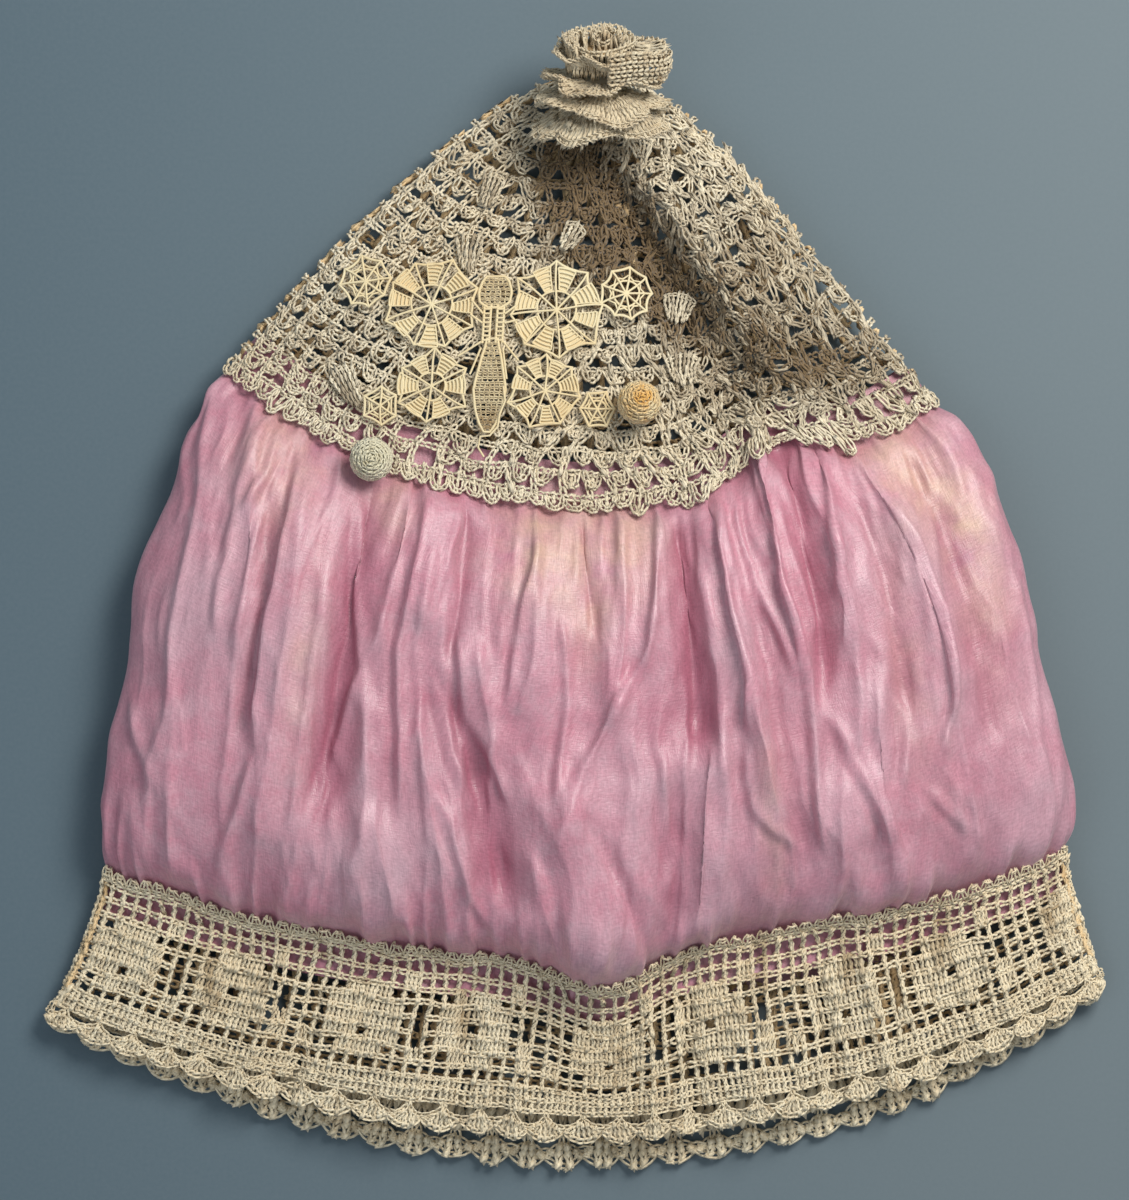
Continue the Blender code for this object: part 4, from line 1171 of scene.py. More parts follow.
    def add_shells(self, chart: Chart, shells: int, front: bool) -> None:
        """Add a fan of posts below every arch, with a looped rim round it."""
        centres = (np.arange(shells) + 0.5) / shells
        fan = np.linspace(-1.0, 1.0, 7 if front else 4)
        foot = SHELL_TOP - self.foot_overlap + self.foot_curve * fan ** 2
        rim = SHELL_TOP + self.shell_reach - self.shell_curve * fan ** 2
        upper, facing = self.seat(foot[None, :] + 0.0 * centres[:, None],
                                  centres[:, None] + 0.30 / shells * fan[None, :], front)
        lower, _ = self.seat(rim[None, :] + 0.0 * centres[:, None],
                             centres[:, None] + 0.45 / shells * fan[None, :], front)
        width = self.thread * (1.0 if front else 1.5)
        chart.add(Stitch.POST, upper.reshape(-1, 3), lower.reshape(-1, 3), facing.reshape(-1, 3), width,
                  0.85, 1.05)
        chart.add_paths(lower, facing, 0.95 * self.thread, 0.9, 1.2)

    def build(self, cotton: bpy.types.Material, inside: bpy.types.Material) -> list[bpy.types.Object]:
        """Lay the pieces of the brim and its edging, the back layer with its browned inner side up."""
        return [self.filet(True).make("brim_front", self.tree, cotton, 1.0, 0.15, BRIM_BROWN_AND_SHADE),
                self.filet(False).make("brim_back", self.tree, inside, 1.15),
                self.edging(True).make("edging_front", self.tree, cotton, 1.0, 0.15),
                self.edging(False).make("edging_back", self.tree, cotton, 1.1)]


class Landing:
    """The top side of the crown, for what is sewn on it."""

    def __init__(self, form: CapForm) -> None:
        """Lay a fine grid of the surface that a point can be dropped on."""
        reach, side = np.linspace(0.02, 0.56, 110), np.linspace(-0.99, 0.99, 141)
        grid = form.point(reach[:, None], side[None, :], True)
        index = np.arange(grid.shape[0] * grid.shape[1]).reshape(grid.shape[:2])
        faces = np.stack([index[:-1, :-1], index[1:, :-1], index[1:, 1:], index[:-1, 1:]], -1)
        self.tree = BVHTree.FromPolygons(grid.reshape(-1, 3).tolist(), faces.reshape(-1, 4).tolist())

    def drop(self, places: Array, lift: Any = 0.0) -> tuple[Array, Array]:
        """Drop points on the crown from above.

        Args:
            places: Points seen from above, x and y.
            lift: How far above the crown they stop.

        Returns:
            The points and the normals of the crown there.
        """
        points, normals = [], []
        level = 0.02
        for x, y in places:
            hit, normal, _, _ = self.tree.ray_cast(Vector((x, y, 0.2)), Vector((0.0, 0.0, -1.0)))
            level = hit.z if hit else level
            points.append((x, y, level))
            normals.append(normal * math.copysign(1.0, normal.z) if hit else (0.0, 0.0, 1.0))
        return np.array(points) + np.array([[0.0, 0.0, 1.0]]) * np.reshape(lift, (-1, 1)), np.array(normals)


@dataclass
class Cords:
    """Round cords along paths, for one piece."""
    points: list[Array] = field(default_factory=list)
    thickness: list[Array] = field(default_factory=list)
    edges: list[tuple[int, int]] = field(default_factory=list)
    count: int = 0

    def add(self, path: Array, radius: float, closed: bool = False) -> None:
        """Add a cord of a radius along a path."""
        size = len(path)
        self.edges += [(self.count + step, self.count + (step + 1) % size)
                       for step in range(size if closed else size - 1)]
        self.points.append(np.asarray(path))
        self.thickness.append(np.full(size, radius))
        self.count += size

    def make(self, name: str, tree: WindingTree, finish: bpy.types.Material, sides: int = 5) -> Any:
        """Wind the cords as one piece."""
        piece = new_piece(name, np.concatenate(self.points), self.edges)
        give_attribute(piece.data, "thickness", "FLOAT", np.concatenate(self.thickness))
        tree.apply(piece, finish, {"Sides": sides})
        return piece


def middle_of(node: str) -> Array:
    """Middle of a CAD node's box."""
    low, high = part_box(node)
    return 0.5 * (np.array(low) + np.array(high))


def ring_of(count: int, start: float = 0.0) -> Array:
    """Angles of an even ring, in radians."""
    return start + math.tau * np.arange(count) / count


class WheelPlan(NamedTuple):
    """A needle lace wheel: its node, its spokes, the bearing of the first and where its ring lies."""
    node: str
    spokes: int
    bearing: float
    ring: float
    petals: bool


WHEELS = (
    WheelPlan("wheel_upper_left", 8, 18.0, 0.46, True),
    WheelPlan("wheel_upper_right", 8, 3.0, 0.44, True),
    WheelPlan("wheel_lower_left", 6, 25.0, 0.40, True),
    WheelPlan("wheel_lower_right", 7, 40.0, 0.44, True),
    WheelPlan("wheel_upper_left_tip", 8, 10.0, 0.55, False),
    WheelPlan("wheel_upper_right_tip", 9, 0.0, 0.55, False),
    WheelPlan("wheel_lower_left_tip", 6, 30.0, 0.50, False),
    WheelPlan("wheel_lower_right_tip", 6, 0.0, 0.50, False),
)


LOOSE_END = ((0.0045, 0.0125), (0.0050, 0.0085), (0.0035, 0.0050), (0.0030, 0.0015), (0.0008, -0.0010),
             (-0.0018, -0.0012), (-0.0024, -0.0042), (-0.0008, -0.0068))
BODY_OUTLINE = ((0.00, 0.55), (0.03, 0.80), (0.10, 1.00), (0.17, 0.90), (0.20, 0.40), (0.42, 0.32),
                (0.50, 0.55), (0.72, 0.98), (0.86, 0.80), (0.97, 0.42), (1.00, 0.20))


@dataclass
class Butterfly:
    """The needle lace butterfly: wheels for wings round a woven body."""
    landing: Landing
    laying: LayingTree
    winding: WindingTree
    seat: float = 0.0011
    spoke: float = 0.00032
    rib: float = 0.00031
    outline: float = 0.00040
    ribs: int = 6
    weave: float = 0.00135
    half_body: float = 0.0043

    def polar(self, middle: Array, radius: Any, angle: Any, lift: float) -> Array:
        """Points of the crown at a distance and bearing from a wheel's middle."""
        radius, angle = np.broadcast_arrays(np.asarray(radius, float), np.asarray(angle, float))
        places = middle[:2] + radius.reshape(-1, 1) * compass(angle).reshape(-1, 2)
        return self.landing.drop(places, self.seat + lift)[0]

    def add_wheel(self, cords: Cords, cloth: bmesh.types.BMesh, plan: WheelPlan, seed: int) -> None:
        """Add one wheel's spokes, ring, outline and petals."""
        draw = np.random.default_rng(seed)
        low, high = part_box(plan.node)
        middle, radius = middle_of(plan.node), 0.5 * (high[0] - low[0])
        bearings = ring_of(plan.spokes, math.radians(plan.bearing)) + 0.07 * draw.uniform(-1, 1, plan.spokes)
        ends = radius * draw.uniform(0.98, 1.16, plan.spokes)
        for bearing, end, bend in zip(bearings, ends, 0.07 * draw.uniform(-1, 1, plan.spokes)):
            run = np.linspace(-0.04, 1.0, 7) * end
            swing = bearing + bend * np.sin(math.pi * np.linspace(0, 1, 7))
            cords.add(self.polar(middle, run, swing, 0.0009 - 0.0003 * np.linspace(0, 1, 7)), self.spoke)
        ring = ring_of(24)
        cords.add(self.polar(middle, plan.ring * radius * (1 + 0.03 * np.sin(3 * ring)), ring, 0.0004),
                  self.spoke, True)
        corners = self.polar(middle, ends, bearings, 0.0005)
        pull = draw.uniform(0.03, 0.12, plan.spokes)
        rim = [corner + share * (after - corner) + draw_in * slack * (middle - corner)
               for corner, after, draw_in in zip(corners, np.roll(corners, -1, 0), pull)
               for share, slack in ((0.0, 0.0), (0.25, 0.8), (0.50, 1.0), (0.75, 0.8))]
        cords.add(self.landing.drop(np.array(rim)[:, :2], self.seat + 0.0005)[0], self.outline, True)
        if not plan.petals:
            half = bearings + math.pi / plan.spokes
            inner = np.ravel(np.column_stack([bearings, half]))
            reach = np.tile([0.78, 0.62], plan.spokes) * radius
            cords.add(self.polar(middle, reach, inner, 0.0004), 0.9 * self.spoke, True)
            return
        for bearing in bearings + math.pi / plan.spokes:
            self.add_petal(cords, cloth, middle, radius, bearing, plan, draw)

    def add_petal(self, cords: Cords, cloth: bmesh.types.BMesh, middle: Array, radius: float,
                  bearing: float, plan: WheelPlan, draw: np.random.Generator) -> None:
        """Add one woven petal: ribs across it, a cord down each side and thin cloth under them."""
        share = np.linspace(plan.ring + 0.03, 0.95 + 0.05 * draw.uniform(-1, 1), self.ribs)
        sector = math.pi / plan.spokes
        half = sector * np.interp(share, (share[0], share[-1]), (0.52, 0.60)) * draw.uniform(0.80, 1.08)
        lean = 0.22 * draw.uniform(-1, 1)
        across = np.linspace(-1.0, 1.0, 4)
        rows = []
        for ring, width in zip(share, half):
            angle = bearing + lean * (ring - share[0]) + width * across
            row = self.polar(middle, ring * radius, angle, 0.0003 + 0.0009 * (ring - share[0]))
            cords.add(row, self.rib)
            rows.append(row)
        for edge in (0, -1):
            cords.add(np.array([row[edge] for row in rows]), 0.8 * self.rib)
        verts = [[cloth.verts.new(Vector(point) - Vector((0, 0, 0.0003))) for point in row] for row in rows]
        for row, following in zip(verts, verts[1:]):
            for step in range(3):
                cloth.faces.new((row[step], following[step], following[step + 1], row[step + 1]))

    def body_line(self, share: Any) -> Array:
        """Middle line of the body at shares of its length, from the head down."""
        low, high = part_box("butterfly_body")
        share = np.asarray(share, float)
        middle = 0.5 * (low[0] + high[0])
        return np.stack([middle + (0.5 - share) * 0.0025, high[1] + share * (low[1] - high[1])], -1)

    def add_body(self, chart: Chart, cords: Cords) -> None:
        """Add the head, the two-column thorax and the abdomen."""
        stations, half = np.array(BODY_OUTLINE), self.half_body
        low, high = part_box("butterfly_body")
        length = high[1] - low[1]
        for share in np.arange(0.02, 1.0, self.weave / length):
            if 0.19 < share < 0.42:
                continue
            width = half * np.interp(share, stations[:, 0], stations[:, 1])
            count = max(2, round(2 * width / self.weave))
            across = np.linspace(-width, width, count + 1)
            line = self.body_line(share) + np.stack([across, 0.0 * across], -1)
            points, normals = self.landing.drop(line, self.seat + 0.0006)
            shade = 0.55 * float(smooth(0.78, 0.92, np.float64(share)))
            chart.add(Stitch.LINK, points[:-1], points[1:], normals[1:], 0.62 * self.weave, 0.9, 1.0, shade)
            below = line + np.array([0.0, -self.weave])
            foot, _ = self.landing.drop(below, self.seat + 0.0004)
            chart.add(Stitch.CORD, points, foot, normals, 0.42 * self.weave, 0.9, 0.9, shade)
        for start, end in ((0.0, 0.20), (0.40, 1.0)):
            shares = np.linspace(start, end, 12)
            width = 1.05 * half * np.interp(shares, stations[:, 0], stations[:, 1])
            sides = [self.body_line(shares) + np.stack([flip * width, 0 * width], -1) for flip in (-1, 1)]
            loop = np.concatenate([sides[0], sides[1][::-1]])
            cords.add(self.landing.drop(loop, self.seat + 0.0006)[0], self.outline, True)
        for offset in (-0.0027, -0.0009, 0.0009, 0.0027):
            shares = np.linspace(0.18, 0.43, 6)
            line = self.body_line(shares) + np.array([offset, 0.0])
            cords.add(self.landing.drop(line, self.seat + 0.0005)[0], self.outline)
        for share in np.linspace(0.21, 0.41, 8):
            for column in (-0.0018, 0.0018):
                line = self.body_line(share) + np.array([[column - 0.001, 0.0], [column + 0.001, 0.0]])
                cords.add(self.landing.drop(line, self.seat + 0.0007)[0], self.spoke)

    def add_joins(self, cords: Cords) -> None:
        """Add the cords that tie the wings to the body, and the loose end below the body."""
        waist = self.body_line(np.array([0.24, 0.30, 0.36, 0.42, 0.46]))
        for side, prefix in ((-1, "left"), (1, "right")):
            upper, lower = middle_of(f"wheel_upper_{prefix}")[:2], middle_of(f"wheel_lower_{prefix}")[:2]
            for joint, wheel, bearing in ((0, upper, 0.12), (1, upper, -0.25), (3, lower, 0.85),
                                          (4, lower, 0.3)):
                start = waist[joint] + np.array([side * 0.003, 0.0])
                end = wheel + 0.011 * np.array([-side * math.cos(bearing), math.sin(bearing)])
                run = start + np.linspace(0, 1, 5)[:, None] * (end - start)
                cords.add(self.landing.drop(run, self.seat + 0.0008)[0], self.spoke)
        tail = self.body_line(1.0)
        loose = tail + np.array(LOOSE_END)
        cords.add(self.landing.drop(loose, self.seat + 0.0012)[0], self.spoke)

    def build(self, thread: bpy.types.Material) -> list[bpy.types.Object]:
        """Make the cords, the cloth of the petals and the woven body."""
        cords, cloth, chart = Cords(), bmesh.new(), Chart(31)
        for seed, plan in enumerate(WHEELS):
            self.add_wheel(cords, cloth, plan, 40 + seed)
        self.add_body(chart, cords)
        self.add_joins(cords)
        cloth.normal_update()
        bmesh.ops.recalc_face_normals(cloth, faces=cloth.faces)
        bmesh.ops.solidify(cloth, geom=cloth.faces[:], thickness=THIN_CLOTH)
        petals = finished_piece(cloth, "butterfly_petals", thread, False)
        return [cords.make("butterfly_cords", self.winding, thread), petals,
                chart.make("butterfly_weave", self.laying, thread, 1.0, 0.10)]


class LeafPlan(NamedTuple):
    """A dense raised leaf of the crown: where its middle is, its bearing and its size."""
    x: float
    y: float
    bearing: float
    length: float
    columns: int


LEAVES = (
    LeafPlan(-0.0360, 0.0965, 85.0, 0.0095, 6),
    LeafPlan(-0.0690, 0.0600, 118.0, 0.0110, 6),
    LeafPlan(-0.0300, 0.1140, 70.0, 0.0090, 5),
    LeafPlan(0.0215, 0.0817, 80.0, 0.0075, 8),
    LeafPlan(0.0226, 0.0645, 95.0, 0.0080, 8),
    LeafPlan(-0.0080, 0.1010, 60.0, 0.0080, 5),
)


@dataclass
class CrownLeaves:
    """Dense raised leaves that stand out among the crown's open cells."""
    landing: Landing
    laying: LayingTree
    thread: float = 0.0013
    lift: float = 0.0008

    def build(self, cotton: bpy.types.Material) -> list[bpy.types.Object]:
        """Lay the leaves' posts side by side, with a chain round each."""
        chart = Chart(51)
        for leaf in LEAVES:
            turn = math.radians(leaf.bearing)
            ahead = compass(turn)
            across = np.array([-ahead[1], ahead[0]])
            columns = np.linspace(-1.0, 1.0, leaf.columns)
            offset = columns * 0.5 * self.thread * 0.85 * leaf.columns
            reach = 0.5 * leaf.length * (1.0 - 0.35 * columns ** 2)
            lines = []
            for share in (-1.0, 0.0, 1.0):
                spread = 0.62 + 0.38 * (share + 1.0) / 2.0
                places = (np.array([leaf.x, leaf.y]) + (offset * spread)[:, None] * across
                          + (share * reach)[:, None] * ahead)
                hump = self.lift + 0.0006 * (1.0 - abs(share)) - 0.0004 * columns ** 2
                lines.append(self.landing.drop(places, hump))
            # All leaves get a little shade: brown and painted shade for the leaves lying in the crown's dent.
            for (start, facing), (end, _) in zip(lines, lines[1:]):
                chart.add(Stitch.POST, start, end, facing, self.thread, 0.9, 1.15, 0.15)
            rim, facing = lines[2]
            chart.chain(rim, facing, 0.0015, 1.1 * self.thread, shade=0.15)
        return [chart.make("crown_leaves", self.laying, cotton, 1.0, 0.14)]


@dataclass
class BallButton:
    """A ball button, worked round in a spiral of links over a filled core."""
    node: str
    laying: LayingTree
    pitch: float = 0.00135
    link: float = 0.0015
    lean: tuple[float, float] = (0.0, 0.0)
    gold: float = 0.0

    def build(self, cotton: bpy.types.Material) -> list[bpy.types.Object]:
        """Lay the spiral and its core."""
        low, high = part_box(self.node)
        middle, radius = middle_of(self.node), 0.5 * (high[0] - low[0])
        turns = math.pi * radius / self.pitch
        share = np.linspace(0.02, 0.98, 900)
        polar, around = math.pi * share, math.tau * turns * share
        way = np.stack([np.sin(polar) * np.cos(around), np.sin(polar) * np.sin(around), np.cos(polar)], -1)
        lean = Matrix.Rotation(self.lean[0], 3, "X") @ Matrix.Rotation(self.lean[1], 3, "Y")
        way = way @ np.array(lean).T
        chart = Chart(61)
        chart.chain(middle + way * (radius - 0.0006), way, self.link, 1.15 * self.pitch, 0.9)
        core = bmesh.new()
        bmesh.ops.create_uvsphere(core, u_segments=24, v_segments=16, radius=radius - 0.0009)
        bmesh.ops.translate(core, verts=core.verts, vec=middle)
        filling = finished_piece(core, f"{self.node}_core", cotton)
        top = TonePatch(middle[0] + 0.0004, middle[1] + 0.0010, 0.0034, 0.0034, self.gold)
        return [chart.make(f"{self.node}_spiral", self.laying, cotton, 1.0, 0.12, (top,)), filling]


class RoundPlan(NamedTuple):
    """One round of the rose, from the crown outwards, as shares of the rose's width."""
    width: float
    droop: float
    petals: int
    curl: float
    curl_bearing: float
    lean: float


ROUNDS = (
    RoundPlan(1.00, 0.30, 5, 0.10, -60.0, 7.0),
    RoundPlan(0.96, 0.12, 4, 0.12, -120.0, -6.0),
    RoundPlan(0.86, -0.12, 4, 0.16, -40.0, 5.0),
    RoundPlan(0.68, -0.42, 3, 0.14, -125.0, -8.0),
)


@dataclass
class Rose:
    """The rose at the peak: rounds of ribbed petals stacked on a tilted axis round a rolled heart."""
    laying: LayingTree
    width: float = 0.0375
    squash: float = 0.70
    tilt: float = math.radians(66)
    pitch: float = 0.0031
    heart_level: float = 0.01593
    heart_radius: float = 0.0080
    heart_height: float = 0.0060
    bud_lean: float = 6.0
    thread: float = 0.0013
    stack_pitch: float = 0.0016
    stack_rims: tuple[tuple[float, float], ...] = ((0.0098, 0.0176), (0.0122, 0.0186), (0.0145, 0.0184),
                                                   (0.0167, 0.0170))

    def placed(self, local: Array) -> Array:
        """Carry points from the rose's own axes to the cap."""
        turn = np.array(Matrix.Rotation(-self.tilt, 3, "X"))
        foot = middle_of("rose_heart") - turn @ np.array([0.0, 0.0, self.heart_level])
        return (local * np.array([1.0, self.squash, 1.0])) @ turn.T + foot

    def axis(self) -> Array:
        """The way up the rose's own axis."""
        return self.placed(np.array([0.0, 0.0, 1.0])) - self.placed(np.zeros(3))

    def petal_point(self, level: int, ring: Any, turn: Any) -> Array:
        """A point of a round, at a share of its radius and a bearing, on the cap."""
        plan = ROUNDS[level]
        ring, turn = np.broadcast_arrays(np.asarray(ring, float), np.asarray(turn, float))
        radius = 0.5 * self.width * plan.width
        lobes = np.abs(np.sin(0.5 * plan.petals * turn + 1.1 * level))
        notch = 1.0 - 0.24 * (1.0 - lobes) ** 2 * ring
        curl = plan.curl * (0.5 + 0.5 * np.cos(turn - math.radians(plan.curl_bearing))) ** 2
        droop = plan.droop + curl + 0.06 * (lobes - 0.6)
        out = radius * ring * notch
        height = (self.pitch * level + 0.0012 - droop * radius * ring ** 2.4
                  + out * np.cos(turn) * math.tan(math.radians(plan.lean))
                  + 0.0011 * ring * np.sin(3.0 * turn + 2.3 * level)
                  + 0.0007 * ring * np.sin(7.0 * turn + level))
        return self.placed(np.stack([out * np.cos(turn), out * np.sin(turn), height], -1))

    def add_round(self, chart: Chart, level: int) -> None:
        """Add two tiers of posts and the doubled rim of one round."""
        plan = ROUNDS[level]
        around = math.pi * self.width * plan.width * 0.85
        turns = ring_of(int(around / (1.10 * self.thread)))
        axis = self.axis()
        for inner, outer in ((0.42, 0.74), (0.72, 1.0)):
            start, end = self.petal_point(level, inner, turns), self.petal_point(level, outer, turns)
            beside = self.petal_point(level, inner, turns + 0.02)
            facing = np.cross(end - start, beside - start)
            facing = facing * np.sign(facing @ axis)[:, None]
            chart.add(Stitch.POST, start, end, facing, self.thread, 0.9, 1.12)
        for ring, width in ((1.0, 1.35), (0.93, 1.1)):
            rim = self.petal_point(level, ring, ring_of(240))
            chart.chain(np.vstack([rim, rim[:1]]), np.tile(axis, (241, 1)), 0.0015, width * self.thread)

    def bud(self, local: Array) -> Array:
        """Carry points of the bud to the cap: it opens a little more to the front than the rounds."""
        lean = np.array(Matrix.Rotation(math.radians(self.bud_lean), 3, "X"))
        foot = np.array([0.0, 0.0, self.heart_level - 0.5 * self.heart_height])
        return self.placed((local - foot) @ lean.T + foot)

    def add_wall(self, chart: Chart, share: float, start: float, end: float, posts: int,
                 shade: float) -> None:
        """Add one curved wall of the bud: posts from bearing to bearing under a beaded rim."""
        turns = np.radians(np.linspace(start, end, posts))
        base = self.heart_level - 0.5 * self.heart_height
        top = base + self.heart_height * (1.02 + 0.12 * np.sin(turns) - 0.06 * np.sin(3.0 * turns + 0.6)
                                          + 0.10 * (share < 0.9))
        flat = self.heart_radius * share * compass(turns)
        foot = self.bud(np.column_stack([0.90 * flat, np.full(posts, base - 0.0020)]))
        rim = self.bud(np.column_stack([1.08 * flat, top]))
        facing = self.bud(np.column_stack([2.0 * flat, top])) - rim
        chart.add(Stitch.POST, foot, rim, facing, 1.05 * self.thread, 0.9, 0.92, shade)
        chart.chain(rim, facing, 0.0015, 1.45 * self.thread)

    def add_stack(self, chart: Chart) -> None:
        """Add the folded strip at the right of the bud: four rims above one another, ribbed between."""
        turns = np.radians(np.linspace(-82.0, 72.0, 23))
        axis = self.axis()
        rows, count = [], len(turns)
        for level, radius in self.stack_rims:
            flat = radius * (1.0 - 0.28 * np.sin(turns) ** 2)[:, None] * compass(turns)
            wave = np.full(count, level) + 0.0004 * np.sin(5.0 * turns)
            rows.append(self.placed(np.column_stack([flat, wave])))
            facing = self.placed(np.column_stack([2.0 * flat, np.full(count, level)])) - rows[-1]
            chart.chain(rows[-1], facing, self.stack_pitch, 1.75 * self.thread)
        for low, high in zip(rows, rows[1:]):
            back = 0.0007 * unit(facing)
            # The posts between the rims are darker: painted shade in the recesses behind the rims.
            chart.add(Stitch.POST, low - back, high - back, facing, 1.25 * self.thread, 0.9, 1.0, 0.40)
        inner = self.placed(np.column_stack([0.55 * flat, np.full(count, 0.0162)]))
        chart.add(Stitch.POST, rows[-1], inner, np.tile(axis, (count, 1)), self.thread, 0.9, 1.0, 0.05)

    def add_heart(self, chart: Chart) -> None:
        """Add the bud: its outer cup, two petals rolled inside it and one that laps over its left."""
        self.add_wall(chart, 1.0, 0.0, 360.0, 44, 0.04)
        # The inner petals are darker: painted shade inside the bud, over its tan thread.
        self.add_wall(chart, 0.58, -20.0, 200.0, 20, 0.22)
        self.add_wall(chart, 0.30, 0.0, 320.0, 11, 0.30)
        self.add_wall(chart, 1.20, 128.0, 222.0, 15, 0.02)

    def backings(self, cotton: bpy.types.Material, inside: bpy.types.Material) -> list[bpy.types.Object]:
        """Thin cloths inside the rounds and the bud, which close the gaps between the posts; the bud's cloth
        is dark, its tan inside with painted shade.
        """
        rings, turns = (0.06, 0.4, 0.7, 0.96), ring_of(48)
        rounds = [[self.petal_point(level, ring, turns) for ring in rings] for level in range(len(ROUNDS))]
        flat = self.heart_radius * compass(turns)
        base = self.heart_level - 0.5 * self.heart_height
        hollow = [self.bud(np.column_stack([share * flat, np.full(48, base + height)]))
                  for share, height in ((0.1, 0.0040), (0.50, 0.0038), (0.94, 0.0036))]
        return [self.backing("rose_backing", rounds, cotton), self.backing("rose_hollow", [hollow], inside)]

    def backing(self, name: str, sheets: Sequence[Sequence[Array]], finish: bpy.types.Material) -> Any:
        """One thin cloth from rings of points."""
        mesh = bmesh.new()
        for sheet in sheets:
            rows = [[mesh.verts.new(point) for point in row] for row in sheet]
            for row, following in zip(rows, rows[1:]):
                for step in range(48):
                    after = (step + 1) % 48
                    mesh.faces.new((row[step], following[step], following[after], row[after]))
            mesh.faces.new(rows[0][::-1])
        bmesh.ops.recalc_face_normals(mesh, faces=mesh.faces)
        bmesh.ops.solidify(mesh, geom=mesh.faces[:], thickness=THIN_CLOTH)
        return finished_piece(mesh, name, finish)

    def build(self, cotton: bpy.types.Material, inside: bpy.types.Material) -> list[bpy.types.Object]:
        """Lay the rose's rounds, its folded strip and its bud."""
        chart = Chart(71)
        for level in range(len(ROUNDS)):
            self.add_round(chart, level)
        self.add_stack(chart)
        self.add_heart(chart)
        return [chart.make("rose_petals", self.laying, cotton, 1.0, 0.10), *self.backings(cotton, inside)]


def join_nodes(tree: bpy.types.NodeTree, *pairs: tuple[Any, Any]) -> None:
    """Link each pair of sockets."""
    for source, target in pairs:
        tree.links.new(source, target)


def add_noise(tree: bpy.types.NodeTree, where: Any, scale: float, detail: float = 2.0,
              rough: float = 0.5) -> Any:
    """A noise texture that reads a vector, and its factor socket."""
    node = tree.nodes.new("ShaderNodeTexNoise")
    node.inputs["Scale"].default_value = scale
    node.inputs["Detail"].default_value = detail
    node.inputs["Roughness"].default_value = rough
    tree.links.new(where, node.inputs["Vector"])
    return node.outputs["Fac"]


def add_range(tree: bpy.types.NodeTree, value: Any, low: float, high: float, to_low: float = 0.0,
              to_high: float = 1.0) -> Any:
    """Carry a value from one range into another, held within it."""
    node = tree.nodes.new("ShaderNodeMapRange")
    for name, number in (("From Min", low), ("From Max", high), ("To Min", to_low), ("To Max", to_high)):
        node.inputs[name].default_value = number
    tree.links.new(value, node.inputs["Value"])
    return node.outputs["Result"]


def add_mix(tree: bpy.types.NodeTree, share: Any, first: Any, second: Any, blend: str = "MIX") -> Any:
    """Blend two colours by a share, each given as a socket or as a value."""
    node = tree.nodes.new("ShaderNodeMix")
    node.data_type, node.blend_type = "RGBA", blend
    for socket, given in ((node.inputs[0], share), (node.inputs[6], first), (node.inputs[7], second)):
        if isinstance(given, bpy.types.NodeSocket):
            tree.links.new(given, socket)
        else:
            socket.default_value = given
    return node.outputs[2]


def add_maths(tree: bpy.types.NodeTree, operation: str, first: Any, second: Any) -> Any:
    """One sum on two values, each given as a socket or as a number."""
    node = tree.nodes.new("ShaderNodeMath")
    node.operation = operation
    for socket, given in zip(node.inputs, (first, second)):
        if isinstance(given, bpy.types.NodeSocket):
            tree.links.new(given, socket)
        else:
            socket.default_value = given
    return node.outputs["Value"]


def add_tone(tree: bpy.types.NodeTree, colour: Any, tone: Any) -> Any:
    """A colour times a value."""
    grey = tree.nodes.new("ShaderNodeCombineColor")
    join_nodes(tree, *((tone, grey.inputs[part]) for part in ("Red", "Green", "Blue")))
    return add_mix(tree, 1.0, colour, grey.outputs["Color"], "MULTIPLY")


def add_bump(tree: bpy.types.NodeTree, height: Any, strength: float) -> Any:
    """The normal of a surface with a fine height on it."""
    bump = tree.nodes.new("ShaderNodeBump")
    bump.inputs["Strength"].default_value = strength
    bump.inputs["Distance"].default_value = 0.0002
    tree.links.new(height, bump.inputs["Height"])
    return bump.outputs["Normal"]


def add_reader(tree: bpy.types.NodeTree, name: str) -> Any:
    """The value of a piece's own attribute."""
    node = tree.nodes.new("ShaderNodeAttribute")
    node.attribute_name = name
    return node.outputs["Fac"]


def new_material(name: str, **values: Any) -> tuple[bpy.types.Material, bpy.types.NodeTree, bpy.types.Node]:
    """A material, its tree and its surface shader, with values for the shader's sockets."""
    made = bpy.data.materials.new(name)
    made.use_nodes = True
    shader = made.node_tree.nodes["Principled BSDF"]
    for socket, value in values.items():
        shader.inputs[socket.replace("_", " ")].default_value = value
    return made, made.node_tree, shader


def new_group(name: str, inputs: Sequence[tuple[str, str]], outputs: Sequence[tuple[str, str]]) -> Any:
    """A shader node group with named sockets, and its two end nodes."""
    tree = bpy.data.node_groups.new(name, "ShaderNodeTree")
    for label, kind in inputs:
        tree.interface.new_socket(label, in_out="INPUT", socket_type=kind)
    for label, kind in outputs:
        tree.interface.new_socket(label, in_out="OUTPUT", socket_type=kind)
    return tree, tree.nodes.new("NodeGroupInput"), tree.nodes.new("NodeGroupOutput")


def ageing_group() -> bpy.types.NodeTree:
    """Yellow-brown patches and fine unevenness of old thread, from the piece's own coordinates."""
    tree, given, out = new_group("Ageing", (("Clean", "NodeSocketColor"), ("Aged", "NodeSocketColor"),
                                            ("Share", "NodeSocketFloat")),
                                 (("Colour", "NodeSocketColor"), ("Patches", "NodeSocketFloat")))
    where = tree.nodes.new("ShaderNodeTexCoord").outputs["Object"]
    wide = add_range(tree, add_noise(tree, where, 26.0, 3.0, 0.6), 0.42, 0.68)
    small = add_range(tree, add_noise(tree, where, 150.0, 2.0, 0.6), 0.35, 0.75)
    patches = add_maths(tree, "MULTIPLY", add_maths(tree, "ADD", wide, add_maths(
        tree, "MULTIPLY", small, 0.45)), given.outputs["Share"])
    colour = add_mix(tree, patches, given.outputs["Clean"], given.outputs["Aged"])
    join_nodes(tree, (colour, out.inputs["Colour"]), (patches, out.inputs["Patches"]))
    return tree


